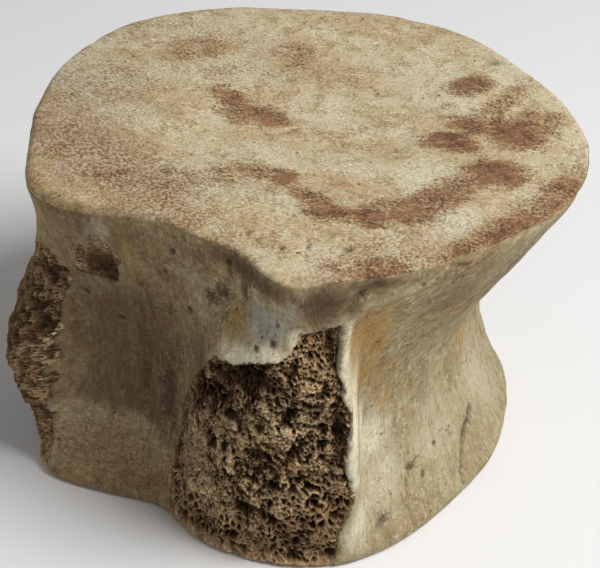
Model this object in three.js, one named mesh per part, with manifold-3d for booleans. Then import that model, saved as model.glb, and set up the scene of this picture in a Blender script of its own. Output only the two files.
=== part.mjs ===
// Fossil vertebra of a plesiosaur, the large marine reptile of the Jurassic and Cretaceous:
// one body (centrum) from the back, with the arch that once roofed the spinal cord broken away.
// It stands on one of its two joint faces. Millimetres, +Z up, -Y is the dorsal side (the back of
// the animal), where the broken roots of the arch and the groove of the spinal cord are.
import * as THREE from 'three';
import { mergeVertices } from 'three/addons/utils/BufferGeometryUtils.js';
import Module from 'manifold-3d';

// driving dimensions in mm, with angles in degrees from the dorsal side, positive towards +X
const LENGTH = 63.2;            // length of the body, between the planes of its two joint faces
const UPPER_RADIUS = 47.8;      // mean radius of the upper joint face
const LOWER_RADIUS = 44.9;      // mean radius of the lower joint face
const WAIST_DEPTH = 9.0;        // how far the sides draw in between the faces
const WAIST_HEIGHT = 0.54;      // share of the length at which the waist is narrowest
const WAIST_BLEND = 0.10;       // how softly the flare above the waist meets the round below it
const WAIST_POWERS = { above: 1.12, below: 0.9 };
const RIM_ROUND = 1.4;          // rounding of the edge of each joint face
const RIM_FALL = 0.5;           // drop of the face from its rim band to that rounding
const LIP = [1.2, 0.8];         // straight lip next to the lower and the upper rounding
const FACE_DISH = 1.9;          // hollow of each joint face at its middle
const DISH_SHARE = 0.78;        // share of the radius that the hollow takes
const RIM_SHARE = 0.93;         // share of the radius where the flat band of the rim ends
const FOOT_SHARE = 0.80;        // the lower face rests on the ring from here to there
const SCAR_ROUGH = 1.0;         // height of the broken, spongy surface's lumps
const BREAK_SINK = 1.5;         // how far the broken surfaces lie under the sound one
const BREAK_EDGE = [-0.8, 2.2]; // the drop to them, in mm inside their outlines
const FORAMEN = { apart: 15.0, wide: 4.4, tall: 7.0, deep: 4.5, height: 29.0, waist: 37.0 };

// swells and hollows of each outline: [angle, amount in mm, half width in degrees]
const UPPER_OUTLINE = [[-2, -7.5, 14], [27, 4.2, 10], [-31, 3.0, 12], [64, -1.2, 17],
  [-107, 1.9, 24], [108, 1.7, 22], [-152, -2.8, 22], [150, -1.2, 20], [180, 1.3, 40]];
const LOWER_OUTLINE = [[-5, -3.4, 10], [34, 3.0, 22], [-33, 7.4, 12], [80, -2.8, 22],
  [-80, -1.5, 22], [-110, 0.5, 20], [112, -2.2, 20], [-152, -2.0, 22], [152, -1.5, 20]];
const WAIST_SWELLS = [[-5, -3.0, 24], [53, 1.6, 13], [95, 4.2, 34], [-85, 3.0, 34], [180, 0.5, 30]];
const WAIST_HEIGHTS = [[88, -0.06, 34], [-80, 0.02, 35]];

// over the right root the rim stands back, and a sloping shelf leads down to the root:
// [angle, amount in mm, half width in degrees], and the shares of the length where it slopes
const SHELF = [[15.5, 4.7, 9.5], [33, 1.8, 9]];
const SHELF_SLOPE = [0.70, 0.90];

// the right root: its two edges in degrees, how far they drift up the side and over which shares
// of the length, how softly they start and end, where the root ends, and how far it stands out
const RIGHT_ROOT = {
  left: 0, leftDrift: 8, leftSoft: [-4, 6],
  right: 43, rightDrift: -5, rightSoft: [-2, 5],
  drift: [0.3, 0.8], top: [0.68, 0.84], stand: 1.5,
};

// the left root: the degrees over which it starts and ends, the drift of its right edge, how much
// of the waist's hollow it fills, where its break ends, and the bulge that stands out of it
const LEFT_ROOT = {
  left: [-70, -59], right: [-34, -27], rightDrift: -4, drift: [0.4, 0.8],
  fill: 0.9, top: [0.66, 0.97], breakTop: [0.66, 0.82],
  stand: 6.8, middle: 0.40, half: 0.185,
};
const FOOT_FADE = [0.02, 0.10]; // shares of the length over which the lumps start, above the foot

// lumps of the roots: [height, degrees that one lump takes, how many in the length, shift]
const LUMPS = [[0.7, 7, 9, 0], [0.5, 3.4, 19, 9]];

// outlines of the broken patches, in degrees and mm: the two roots of the arch, and a kite-shaped
// flake lost to the left of the groove. A bulge is [amount, height, half height], and the rest are
// [amount, from, to]
const RIGHT_BREAK = {
  left: -2.6, foot: [4.5, 0, 6],
  right: 36.7, spread: [2.8, 35, 46], bulge: [2.5, 17, 4],
  low: 23, rise: [21.5, -3, 13], shelf: [3, 12, 26], horn: [4.5, 25, 31],
};
const LEFT_BREAK = {
  left: -60.5, leftBulge: [3, 20, 9], right: -30.4, rightBulge: [2.8, 44.5, 3],
  top: 48.8, slope: [7, -33, -48],
};
const FLAKE = {
  at: -19.3, height: 51.5, half: 3.5, narrow: [2.6, 1, 6], lean: 0.25,
  reach: 3.9, point: 2.2, pointHalf: 2,
};
const TOP_SLANT = 0.8;          // the upper edges run askew, so they are nearer than straight up
const SINK_SHARES = { right: 1, left: 0.5, flake: 0.6 };
const SINK_FOOT = [0.5, 6];     // heights over which the sink starts, above the foot
const HOLLOW_FOOT = [0.2, 5];   // heights over which the hollows start

// sound bone swollen along the edges of the right root:
// [angle, height, half width, half height, rise, reach outside the break]
const BANKS = [[19, 47.5, 7.5, 3.5, 1.3, 4.5], [41, 42.0, 7.0, 10.0, 0.9, 2.5]];
const BANK_EDGE = [-0.8, 1.4];  // where a bank ends, in mm inside the break's outline

// hollows of the broken patches: [angle, height, half width, half height, depth]
const RIGHT_HOLLOWS = [[24, 26, 3.0, 4.0, 1.8], [19, 42.5, 7.0, 2.2, 2.4], [13, 36, 4.5, 2.6, 1.6],
  [6, 31, 2.4, 4.0, 1.4], [34.5, 48, 1.8, 4.0, 1.0]];
const LEFT_HOLLOWS = [[-32.5, 34, 1.6, 4.5, 2.0], [-40, 20, 4.0, 4.0, 1.0],
  [-33, 44, 2.5, 2.5, 0.8]];
const FLAKE_HOLLOWS = [[-19.5, 50.4, 2.8, 2.6, 1.4]];

// rows of the mesh: columns round the side, rings up it, on the face and on each rounding
const AROUND = 136;
const UP_SIDE = 28;
const FACE_RINGS = 4;
const ROUND_STEPS = 2;
const LOWER_SHARES = [0, 0.28, 0.56, FOOT_SHARE, RIM_SHARE];
const CLOSE = { from: -66, to: 46, share: 0.58 };   // columns stand closer where the breaks are
const MERGE = 1e-4;             // vertices nearer to each other than this are joined

const wrap = (d) => ((d + 540) % 360) - 180;
const within = (a, b, x) => Math.min(1, Math.max(0, (x - a) / (b - a)));
function smooth(a, b, x) {
  const t = within(a, b, x);
  return t * t * (3 - 2 * t);
}
const bell = (x) => Math.exp(-x * x);
const swell = (angle, base, rows) => rows.reduce(
  (sum, [at, by, wide]) => sum + by * bell(wrap(angle - at) / wide), base);

// a repeatable rough field, smooth between lattice points
function lattice(i, j) {
  const s = Math.sin(i * 127.1 + j * 311.7) * 43758.5453;
  return s - Math.floor(s);
}
function rough(u, v) {
  const i = Math.floor(u);
  const j = Math.floor(v);
  const f = smooth(0, 1, u - i);
  const g = smooth(0, 1, v - j);
  const a = lattice(i, j) * (1 - f) + lattice(i + 1, j) * f;
  const b = lattice(i, j + 1) * (1 - f) + lattice(i + 1, j + 1) * f;
  return 2 * (a * (1 - g) + b * g) - 1;
}

// how fully the side is drawn in at height share h: straight flare above, rounded below
function draw(angle, h) {
  const from = (RIM_ROUND + LIP[0]) / LENGTH;
  const to = 1 - (RIM_FALL + RIM_ROUND + LIP[1]) / LENGTH;
  const t = within(from, to, h);
  const at = swell(angle, WAIST_HEIGHT, WAIST_HEIGHTS);
  const above = ((1 - t) / (1 - at)) ** WAIST_POWERS.above;
  const below = t > at ? 1 : Math.sin((Math.PI / 2) * (t / at) ** WAIST_POWERS.below);
  const both = Math.exp(-above / WAIST_BLEND) + Math.exp(-below / WAIST_BLEND);
  return Math.min(1, Math.max(0, -WAIST_BLEND * Math.log(both)));
}

// the two broken roots of the arch, 0 away from them and 1 on them
function rightRoot(angle, t) {
  const r = RIGHT_ROOT;
  const drift = smooth(...r.drift, t);
  const left = r.left + r.leftDrift * drift;
  const right = r.right + r.rightDrift * drift;
  return smooth(left + r.leftSoft[0], left + r.leftSoft[1], angle)
    * (1 - smooth(right + r.rightSoft[0], right + r.rightSoft[1], angle))
    * (1 - smooth(...r.top, t));
}
function leftRoot(angle, t) {
  const r = LEFT_ROOT;
  const right = r.right[0] + r.rightDrift * smooth(...r.drift, t);
  return smooth(...r.left, angle) * (1 - smooth(right, r.right[1], angle));
}

// distance in mm inside each broken patch, negative outside, with the length of a degree there
function rightBreak(angle, z, degree) {
  const b = RIGHT_BREAK;
  const right = b.right + b.spread[0] * (1 - smooth(b.spread[1], b.spread[2], z))
    + b.bulge[0] * bell((z - b.bulge[1]) / b.bulge[2]);
  const left = b.left + b.foot[0] * (1 - smooth(b.foot[1], b.foot[2], z));
  const top = b.low + b.rise[0] * within(b.rise[1], b.rise[2], angle)
    + b.shelf[0] * smooth(b.shelf[1], b.shelf[2], angle)
    + b.horn[0] * smooth(b.horn[1], b.horn[2], angle);
  return Math.min((right - angle) * degree, (angle - left) * degree, TOP_SLANT * (top - z));
}
function leftBreak(angle, z, degree) {
  const b = LEFT_BREAK;
  const right = b.right + b.rightBulge[0] * bell((z - b.rightBulge[1]) / b.rightBulge[2]);
  const left = b.left + b.leftBulge[0] * bell((z - b.leftBulge[1]) / b.leftBulge[2]);
  const top = b.top - b.slope[0] * smooth(b.slope[1], b.slope[2], angle);
  return Math.min((right - angle) * degree, (angle - left) * degree, TOP_SLANT * (top - z));
}
function flakeBreak(angle, z, degree) {
  const b = FLAKE;
  const across = (angle - b.at) * degree;
  const up = z - b.height;
  const half = b.half - b.narrow[0] * smooth(b.narrow[1], b.narrow[2], up);
  const point = up > 0 ? b.point * bell(across / b.pointHalf) : 0;
  return Math.min(half - Math.abs(across - b.lean * up), b.reach + point - Math.abs(up));
}
function hollows(angle, z, degree, rows) {
  return rows.reduce((sum, [at, up, wide, tall, deep]) => sum
    + deep * bell(Math.hypot((angle - at) * degree / wide, (z - up) / tall)), 0);
}

// height of the broken surfaces and the swollen edges, against the plain sound side
function breakRelief(angle, z, radius) {
  const degree = THREE.MathUtils.degToRad(radius);
  const right = rightBreak(angle, z, degree);
  const left = leftBreak(angle, z, degree);
  const flake = flakeBreak(angle, z, degree);
  const sunk = (inside, rows, share) => smooth(...BREAK_EDGE, inside)
    * (BREAK_SINK * share * smooth(...SINK_FOOT, z)
      + hollows(angle, z, degree, rows) * smooth(...HOLLOW_FOOT, z));
  const banks = BANKS.reduce((sum, [at, up, wide, tall, rise, reach]) => sum
    + rise * bell((angle - at) / wide) * bell((z - up) / tall)
      * smooth(-reach, BANK_EDGE[0], right) * (1 - smooth(...BANK_EDGE, right)), 0);
  return banks - Math.max(
    sunk(right, RIGHT_HOLLOWS, SINK_SHARES.right),
    sunk(left, LEFT_HOLLOWS, SINK_SHARES.left),
    sunk(flake, FLAKE_HOLLOWS, SINK_SHARES.flake));
}

// radius of the side at an angle and a share of the length
function sideRadius(angle, t) {
  const upper = swell(angle, UPPER_RADIUS, UPPER_OUTLINE)
    - swell(angle, 0, SHELF) * smooth(...SHELF_SLOPE, t);
  const lower = swell(angle, LOWER_RADIUS, LOWER_OUTLINE);
  const hollow = swell(angle, WAIST_DEPTH, WAIST_SWELLS) * draw(angle, t);
  const right = rightRoot(angle, t);
  const left = leftRoot(angle, t);
  const r = LEFT_ROOT;
  const stand = Math.max(
    right * (hollow + RIGHT_ROOT.stand * Math.sin(Math.PI * t)),
    left * (r.fill * hollow * (1 - smooth(...r.top, t)) + r.stand * bell((t - r.middle) / r.half)));
  const broken = Math.max(right, left * (1 - smooth(...r.breakTop, t))) * smooth(...FOOT_FADE, t);
  const lumps = LUMPS.reduce((sum, [high, wide, tall, shift]) => sum
    + high * rough(angle / wide + shift, t * tall), 0);
  const sound = lower * (1 - t) + upper * t - hollow + stand;
  return sound + SCAR_ROUGH * broken * lumps + breakRelief(angle, t * LENGTH, sound);
}

// stations of the profile, from the middle of the lower face round to the middle of the upper one
const stations = [];
const SIDE_RISE = LENGTH - 2 * RIM_ROUND - RIM_FALL;
for (const share of LOWER_SHARES) stations.push({ face: 0, share });
for (let i = 0; i < ROUND_STEPS; i++) {
  stations.push({ edge: 0, turn: (Math.PI / 2) * (i / ROUND_STEPS) });
}
for (let i = 0; i <= UP_SIDE; i++) {
  stations.push({ t: (RIM_ROUND + SIDE_RISE * (i / UP_SIDE)) / LENGTH });
}
for (let i = ROUND_STEPS - 1; i >= 0; i--) {
  stations.push({ edge: 1, turn: (Math.PI / 2) * (i / ROUND_STEPS) });
}
for (let i = FACE_RINGS; i >= 0; i--) {
  stations.push({ face: 1, share: RIM_SHARE * (i / FACE_RINGS) });
}

// how deep a joint face is hollowed, at a share of its radius
const dish = (share) => FACE_DISH * (1 - smooth(0, DISH_SHARE, share));

// radius and height of a station of the profile, at an angle
function place(angle, s) {
  if (s.t !== undefined) return [sideRadius(angle, s.t), s.t * LENGTH];
  if (s.edge !== undefined) {
    const out = RIM_ROUND * (1 - Math.sin(s.turn));
    const up = RIM_ROUND * (1 - Math.cos(s.turn));
    return s.edge
      ? [sideRadius(angle, 1 - (RIM_ROUND + RIM_FALL) / LENGTH) - out, LENGTH - RIM_FALL - up]
      : [sideRadius(angle, RIM_ROUND / LENGTH) - out, up];
  }
  const radius = s.face ? swell(angle, UPPER_RADIUS, UPPER_OUTLINE) - swell(angle, 0, SHELF)
    : swell(angle, LOWER_RADIUS, LOWER_OUTLINE);
  return [s.share * radius, s.face ? LENGTH - dish(s.share) : dish(s.share)];
}

// angle of each column of vertices, close together over the breaks and wider apart behind
function columnAngle(i) {
  const near = CLOSE.to - CLOSE.from;
  const u = (i % AROUND) / AROUND;
  return wrap(u < CLOSE.share ? CLOSE.from + (near * u) / CLOSE.share
    : CLOSE.to + ((360 - near) * (u - CLOSE.share)) / (1 - CLOSE.share));
}

// a lathe turned from that profile, then each vertex moved out to the bone's own outline
function boneGeometry() {
  const profile = stations.map((s) => new THREE.Vector2(s.share === 0 ? 0 : 1, place(0, s)[1]));
  const lathe = new THREE.LatheGeometry(profile, AROUND);
  const spot = lathe.attributes.position;
  for (let i = 0; i <= AROUND; i++) {
    const angle = columnAngle(i);
    const turn = THREE.MathUtils.degToRad(angle);
    stations.forEach((s, j) => {
      const [radius, height] = place(angle, s);
      const row = i * stations.length + j;
      spot.setXYZ(row, radius * Math.sin(turn), -radius * Math.cos(turn), height);
    });
  }
  return lathe;
}

const wasm = await Module();
wasm.setup();

// closed three.js geometry to a solid that can be cut, and back
function solid(geometry) {
  const bare = geometry.clone();
  bare.deleteAttribute('normal');
  bare.deleteAttribute('uv');
  const merged = mergeVertices(bare, MERGE);
  const index = merged.index.array;
  const tris = [];
  for (let i = 0; i < index.length; i += 3) {
    const [a, b, c] = [index[i], index[i + 1], index[i + 2]];
    if (a !== b && b !== c && c !== a) tris.push(a, b, c);
  }
  const body = (list) => new wasm.Manifold(new wasm.Mesh({
    numProp: 3,
    vertProperties: new Float32Array(merged.attributes.position.array),
    triVerts: new Uint32Array(list),
  }));
  const first = body(tris);
  if (first.volume() > 0) return first;
  return body(tris.map((v, i) => tris[i % 3 === 1 ? i + 1 : i % 3 === 2 ? i - 1 : i]));
}
function geometryOf(made) {
  const mesh = made.getMesh();
  const geometry = new THREE.BufferGeometry();
  const spots = new Float32Array(mesh.vertProperties);
  geometry.setAttribute('position', new THREE.BufferAttribute(spots, 3));
  geometry.setIndex(new THREE.BufferAttribute(new Uint32Array(mesh.triVerts), 1));
  geometry.computeVertexNormals();
  return geometry;
}

// the pair of blood-vessel openings under the body, one each side of the middle line
function foramen(side) {
  const pit = new THREE.SphereGeometry(1, 12, 8);
  const angle = 180 - side * THREE.MathUtils.radToDeg(FORAMEN.apart / 2 / FORAMEN.waist);
  const radius = sideRadius(angle, FORAMEN.height / LENGTH);
  const turn = THREE.MathUtils.degToRad(angle);
  pit.scale(FORAMEN.wide / 2, FORAMEN.deep, FORAMEN.tall / 2);
  pit.rotateZ(turn);
  pit.translate(radius * Math.sin(turn), -radius * Math.cos(turn), FORAMEN.height);
  return pit;
}

let bone = solid(boneGeometry());
for (const side of [-1, 1]) bone = bone.subtract(solid(foramen(side)));
const boneShape = geometryOf(bone);
boneShape.computeBoundingBox();
const middle = boneShape.boundingBox.getCenter(new THREE.Vector3());
boneShape.translate(-middle.x, -middle.y, -boneShape.boundingBox.min.z);

const fossil = new THREE.MeshStandardMaterial({ color: 0xc9b896, roughness: 0.82, metalness: 0.0 });
const vertebra = new THREE.Mesh(boneShape, fossil);
vertebra.name = 'vertebra';

const group = new THREE.Group();
group.add(vertebra);
export default group;
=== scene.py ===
"""Fossil vertebra of a plesiosaur, standing on one joint face, laid out as an add-on."""

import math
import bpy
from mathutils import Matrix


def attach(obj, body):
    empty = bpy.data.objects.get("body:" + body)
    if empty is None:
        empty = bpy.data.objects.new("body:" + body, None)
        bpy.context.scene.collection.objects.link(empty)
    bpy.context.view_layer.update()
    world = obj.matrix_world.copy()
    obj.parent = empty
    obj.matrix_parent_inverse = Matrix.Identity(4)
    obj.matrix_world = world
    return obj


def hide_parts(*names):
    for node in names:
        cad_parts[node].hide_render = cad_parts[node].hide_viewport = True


bl_info = {
    "name": "Fossil Vertebra",
    "version": (1, 0, 0),
    "blender": (4, 5, 0),
    "location": "3D View > Sidebar > Vertebra",
    "description": "Builds a fossil plesiosaur vertebra with broken spongy arch roots, and its stage",
    "category": "Add Mesh",
}

from types import SimpleNamespace

import bpy
import numpy as np
from bpy.props import FloatProperty, FloatVectorProperty, IntProperty, PointerProperty
from bpy.types import Operator, Panel, PropertyGroup
from mathutils import Quaternion, Vector

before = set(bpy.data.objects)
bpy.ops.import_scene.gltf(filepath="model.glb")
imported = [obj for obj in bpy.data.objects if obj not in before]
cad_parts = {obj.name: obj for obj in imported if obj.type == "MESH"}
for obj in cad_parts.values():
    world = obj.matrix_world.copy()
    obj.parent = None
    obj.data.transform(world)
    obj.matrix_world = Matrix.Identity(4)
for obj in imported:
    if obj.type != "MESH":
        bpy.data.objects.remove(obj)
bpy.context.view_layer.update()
MM = 0.001
DEGREE = math.pi / 180

# The bone's own shape, in millimetres, and degrees from the dorsal side, positive towards +X.
# Swells and hollows are (where, amount, half width).
UPPER_OUTLINE = [(-2, -7.5, 14), (27, 4.2, 10), (-31, 3.0, 12), (64, -1.2, 17), (-107, 1.9, 24),
                 (108, 1.7, 22), (-152, -2.8, 22), (150, -1.2, 20), (180, 1.3, 40)]
LOWER_OUTLINE = [(-5, -3.4, 10), (34, 3.0, 22), (-33, 7.4, 12), (80, -2.8, 22), (-80, -1.5, 22),
                 (-110, 0.5, 20), (112, -2.2, 20), (-152, -2.0, 22), (152, -1.5, 20)]
WAIST_SWELLS = [(-5, -3.0, 24), (53, 1.6, 13), (95, 4.2, 34), (-85, 3.0, 34), (180, 0.5, 30)]
WAIST_HEIGHTS = [(88, -0.06, 34), (-80, 0.02, 35)]
WAIST_BLEND = 0.10               # how softly the flare above the waist meets the round below it
WAIST_POWERS = (1.12, 0.9)       # how the side bends above and below the waist
# over the right root the rim stands back, and a sloping shelf leads down to the root
SHELF = [(15.5, 4.7, 9.5), (33, 1.8, 9)]
SHELF_SLOPE = (0.70, 0.90)
LIP = (1.2, 0.8)                 # straight lip next to the lower and the upper rounding
MIDDLE = (-0.17, 0.86)           # middle of the bone's box in these axes
FOOT_SHARE = (0.80, 0.93)        # the ring it stands on, as shares of the lower radius
RIM_SHARE = 0.93                 # where the rim band of the upper face ends
DISH_SHARE = 0.78                # share of the radius that the hollow of a joint face takes
MEAN_RADIUS = 46.0               # of the side, for steps and lines drawn round it
WAIST_RADIUS = 39.0              # of the side near the waist
CORE_RADIUS = 24.0               # where the wedges under the breaks meet, deep in the bone
FAR_OUTSIDE = -9.0               # distance given to points that no break can reach
RECESS = 8.0                     # how far the outer bone stops short under the spongy breaks
WALL_SINK = 0.8                  # how far the tops of the spongy walls lie under the sound surface
# openings of the two blood vessels under the body, each at an angle from the middle line
VESSEL = {"aside": 11.6, "height": 29, "half": 2.2, "tall": 3.5, "deep": 4.3}

# The two roots of the arch: edges in degrees, how softly they start and end, their drift up the
# side, the shares of the length where they drift and end, and how far they stand out.
RIGHT_ROOT = {"left": 0, "left_soft": (-4, 6), "left_drift": 8,
              "right": 43, "right_soft": (-2, 5), "right_drift": -5,
              "drift": (0.3, 0.8), "top": (0.68, 0.84), "stand": 1.5}
LEFT_ROOT = {"left": (-70, -59), "right": (-34, -27), "right_drift": -4, "drift": (0.4, 0.8),
             "fill": 0.9, "top": (0.66, 0.97), "break_top": (0.66, 0.82),
             "stand": 6.8, "middle": 0.40, "half": 0.185}
FOOT_FADE = (0.02, 0.10)         # shares of the length over which the lumps start
# lumps of the roots: height, degrees that one takes, how many in the length, shift
LUMPS = [(0.7, 7, 9, 0), (0.5, 3.4, 19, 9)]

# Outlines of the broken patches. A bulge is (amount, height, half height), and the other groups
# of three are (amount, from, to).
RIGHT_BREAK = {"left": -2.6, "foot": (4.5, 0, 6), "right": 36.7, "spread": (2.8, 35, 46),
               "bulge": (2.5, 17, 4), "low": 23, "rise": (21.5, -3, 13), "shelf": (3, 12, 26),
               "horn": (4.5, 25, 31)}
LEFT_BREAK = {"left": -60.5, "left_bulge": (3, 20, 9), "corner": (4, 34, 44), "foot": (3, 0, 8),
              "right": -30.4, "right_bulge": (2.8, 44.5, 3), "top": 48.8, "slope": (7, -33, -48)}
# a kite-shaped flake lost to the left of the groove, and the thin skin gone above it
FLAKE = {"at": -19.3, "height": 51.5, "half": 3.5, "narrow": (2.6, 1, 6), "lean": 0.25,
         "reach": 3.9, "point": 2.2, "point_half": 2.0}
SKIN = {"at": -19.0, "height": 52.5, "half": 3.9, "tall": 9.5, "lean": 0.22, "below": 3}
TOP_SLANT = 0.8                  # the upper edges run askew, so they are nearer than straight up
# sound bone swollen along the right root: angle, height, half width, half height, rise, reach
BANKS = [(19, 47.5, 7.5, 3.5, 1.3, 4.5), (41, 42.0, 7.0, 10.0, 0.9, 2.5)]

# Fine unevenness, as (height in mm, size of its lumps in mm, seed).
SIDE_GRAIN = [(0.28, 9.0, 2), (0.16, 3.4, 3), (0.06, 1.4, 4)]
FACE_GRAIN = [(0.24, 11.0, 6), (0.12, 3.0, 7), (0.05, 1.3, 9)]
BREAK_GRAIN = [(0.65, 5.4, 21), (0.50, 2.6, 22)]
EDGE_GRAIN = [(0.55, 2.6, 1), (0.30, 0.9, 6)]
BANK_GRAIN = [(0.45, 1.6, 15)]
BLOT_GRAIN = [(0.30, 2.4, 11), (0.22, 5.5, 12)]

# Raised lines, sunk lines and cracks on the side, as (angle, height) points. A crack also has its
# half width and its depth.
RIDGE = [(37.4, 47.0), (38.4, 53.0), (41.0, 56.0), (47.0, 57.4), (56.0, 58.0)]
GROOVE = [(38.0, 54.8), (39.4, 58.2), (43.0, 60.4)]
CRACKS = [([(94.8, 10.8), (90.5, 9.4), (86.5, 8.4)], 0.45, 1.0),
          ([(86.5, 8.4), (83.0, 6.2), (79.6, 4.2), (79.0, 2.6)], 0.25, 0.7),
          ([(60.0, 62.6), (58.6, 61.0), (62.5, 59.8)], 0.35, 0.5)]
# small pits, as (angle, height, radius) and on the joint face as (x, y, radius), and knobs
SIDE_PITS = [(24.2, 49.6, 0.55), (21.2, 48.5, 0.45), (24.8, 52.8, 0.35), (29.2, 51.6, 0.4),
             (0.6, 44.6, 0.6), (-2.4, 56.5, 0.5), (-5.2, 51.6, 0.35), (-17.5, 38.6, 0.45),
             (-24.4, 42.6, 0.45), (13.4, 59.6, 0.45), (52.6, 58.5, 0.35), (66.2, 8.8, 0.4),
             (73.6, 11.4, 0.4)]
FACE_PITS = [(10.3, -36.0, 0.5), (12.6, -37.0, 0.45), (25.4, -31.4, 0.7), (21.2, -37.5, 0.5),
             (16.6, -37.0, 0.4), (18.7, 39.3, 1.2), (7.0, -33.0, 0.35), (28.6, -34.6, 0.4),
             (20.0, -34.5, 0.35)]
KNOBS = [(-47, 54.5, 1.3, 1.1), (-44, 50.5, 1.0, 0.9), (-52, 57, 1.6, 0.8)]

# Colours of the side, as touches, some of them painted shade and highlight: angle, height, half width,
# half height, strength.
OCHRE = [(44, 48, 5.5, 7, 1.0), (47.5, 44, 3.5, 7, 1.0), (46, 36, 5, 5, 0.8), (51, 33, 5, 4, 0.6),
         (41, 44, 2.5, 5, 0.6), (15.5, 50, 2.6, 3.2, 0.75), (12.5, 46.5, 2.4, 1.8, 0.6),
         (13, 56, 1.6, 3, 0.4), (-12, 53, 2, 6, 0.5), (-33, 58, 9, 6, 0.5), (68, 36, 8, 6, 0.35),
         (56, 26, 5, 2.5, 0.5), (98, 25, 14, 3.5, 0.6), (104, 40, 16, 8, 0.3),
         (-24, 4, 5, 3, 0.5)]
ASH = [(23, 52, 4.8, 3.4, 1.0), (27, 56, 2.4, 3.5, 0.6), (50, 19, 6, 4, 0.6), (58, 14, 6, 5, 0.4),
       (-25, 15, 6, 5, 0.15)]
# pale bone, and painted highlight where the touches add up past 1: on the ledge over the right root and on
# the lip beside it
CHALK_AND_HIGHLIGHT = [(18.5, 46.6, 6.5, 1.6, 1.35), (24, 48.4, 4.0, 1.1, 1.3), (28.5, 51.0, 2.0, 1.6, 1.2),
         (20, 50, 2, 2, 0.6), (-16, 59, 1.8, 2.6, 0.5), (50, 20, 8, 5, 1.0),
         (52, 12, 12, 8, 0.65), (75, 12, 22, 12, 0.5), (104, 12, 16, 14, 0.55),
         (41.5, 34, 1.8, 9, 1.5), (45.5, 24, 2.2, 5, 1.4), (44, 8, 5, 6, 0.9)]
# grey bone, and mostly painted shade: under the rim, under the flare and on the floor of the groove of the
# spinal cord
GREY_AND_PAINTED_SHADE = [(-17, 36, 11, 22, 0.7), (-25, 45, 9, 9, 0.45), (-13.5, 26, 2.8, 9.0, 1.0),
        (-7.2, 23, 2.6, 9, 1.0), (-20, 22, 5, 6, 0.5), (1, 38, 9, 12, 0.55), (2, 58, 9, 4, 0.5),
        (33, 57.5, 5.5, 6, 1.0), (18, 60, 13, 2.6, 0.9), (40, 60.5, 14, 1.8, 0.7),
        (34, 53, 2.4, 5, 0.7), (64, 52, 15, 9, 0.45), (90, 48, 20, 12, 0.5), (8, 40, 5, 7, 0.7),
        (44, 19, 1.6, 5, 0.45), (60, 52, 5, 3, 0.3)]
ROSE = [(-18, 7, 12, 8, 1.0), (-6, 7, 5, 6, 0.9), (-27, 8, 4, 9, 0.6), (-7.8, 38.5, 1.4, 2, 0.6),
        (-10.4, 38.5, 1.2, 2, 0.5), (12, 47, 1.8, 1.8, 0.8), (4, 40, 5, 5, 0.4),
        (70, 22, 3, 3, 0.5), (-26, 50, 5, 6, 0.3), (0, 54, 8, 6, 0.3), (66, 40, 6, 8, 0.25)]
UMBER = [(11.5, 53, 3.2, 2.6, 0.8), (17.5, 56.5, 1.0, 3.5, 0.9), (13.5, 57, 0.9, 3.5, 0.8),
         (9.0, 51, 2.4, 1.5, 0.9), (-8, 24, 1.9, 9, 0.8), (-13.5, 27, 1.5, 7.5, 0.7),
         (-5.5, 18, 1.0, 5, 0.7), (47.5, 43.5, 2.4, 3.2, 0.5), (52.2, 47, 0.6, 4.5, 0.5),
         (56, 41, 3, 1.6, 0.45), (58.5, 38.5, 2, 1.4, 0.45), (61, 33, 1.6, 1.4, 0.4),
         (62.5, 56.5, 1.6, 1, 0.5), (51, 6, 2.2, 1.2, 0.8), (58, 6.5, 1.4, 1.6, 0.5),
         (62.3, 11.4, 2.4, 0.8, 0.95), (60, 9.5, 1.5, 1.5, 0.5), (65, 12, 1.6, 0.4, 0.6),
         (60.5, 20.6, 1.6, 0.6, 0.6), (62, 17.4, 1.4, 0.5, 0.5), (54.5, 19.5, 1.4, 0.7, 0.5),
         (66, 8.6, 1.2, 0.5, 0.7), (56.5, 22, 1.2, 0.6, 0.35), (73.5, 11.4, 0.9, 0.6, 0.8),
         (78, 12.6, 1.4, 0.5, 0.7), (81.5, 10.5, 1.2, 0.5, 0.6), (72, 8.8, 1.4, 0.4, 0.5),
         (73, 4.6, 1.4, 0.4, 0.5), (51.5, 12, 0.7, 0.6, 0.6), (46.5, 3.8, 0.8, 0.4, 0.6),
         (40.5, 59, 1.5, 1.6, 0.7), (90, 9.6, 4, 0.7, 0.5), (80, 4.8, 2, 0.5, 0.5),
         (-24.5, 42.8, 0.8, 1.0, 0.8), (-18, 38.7, 0.8, 0.6, 0.8), (-11, 48, 0.9, 1.0, 0.6),
         (-22, 44, 2.0, 1.4, 0.4)]
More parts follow.
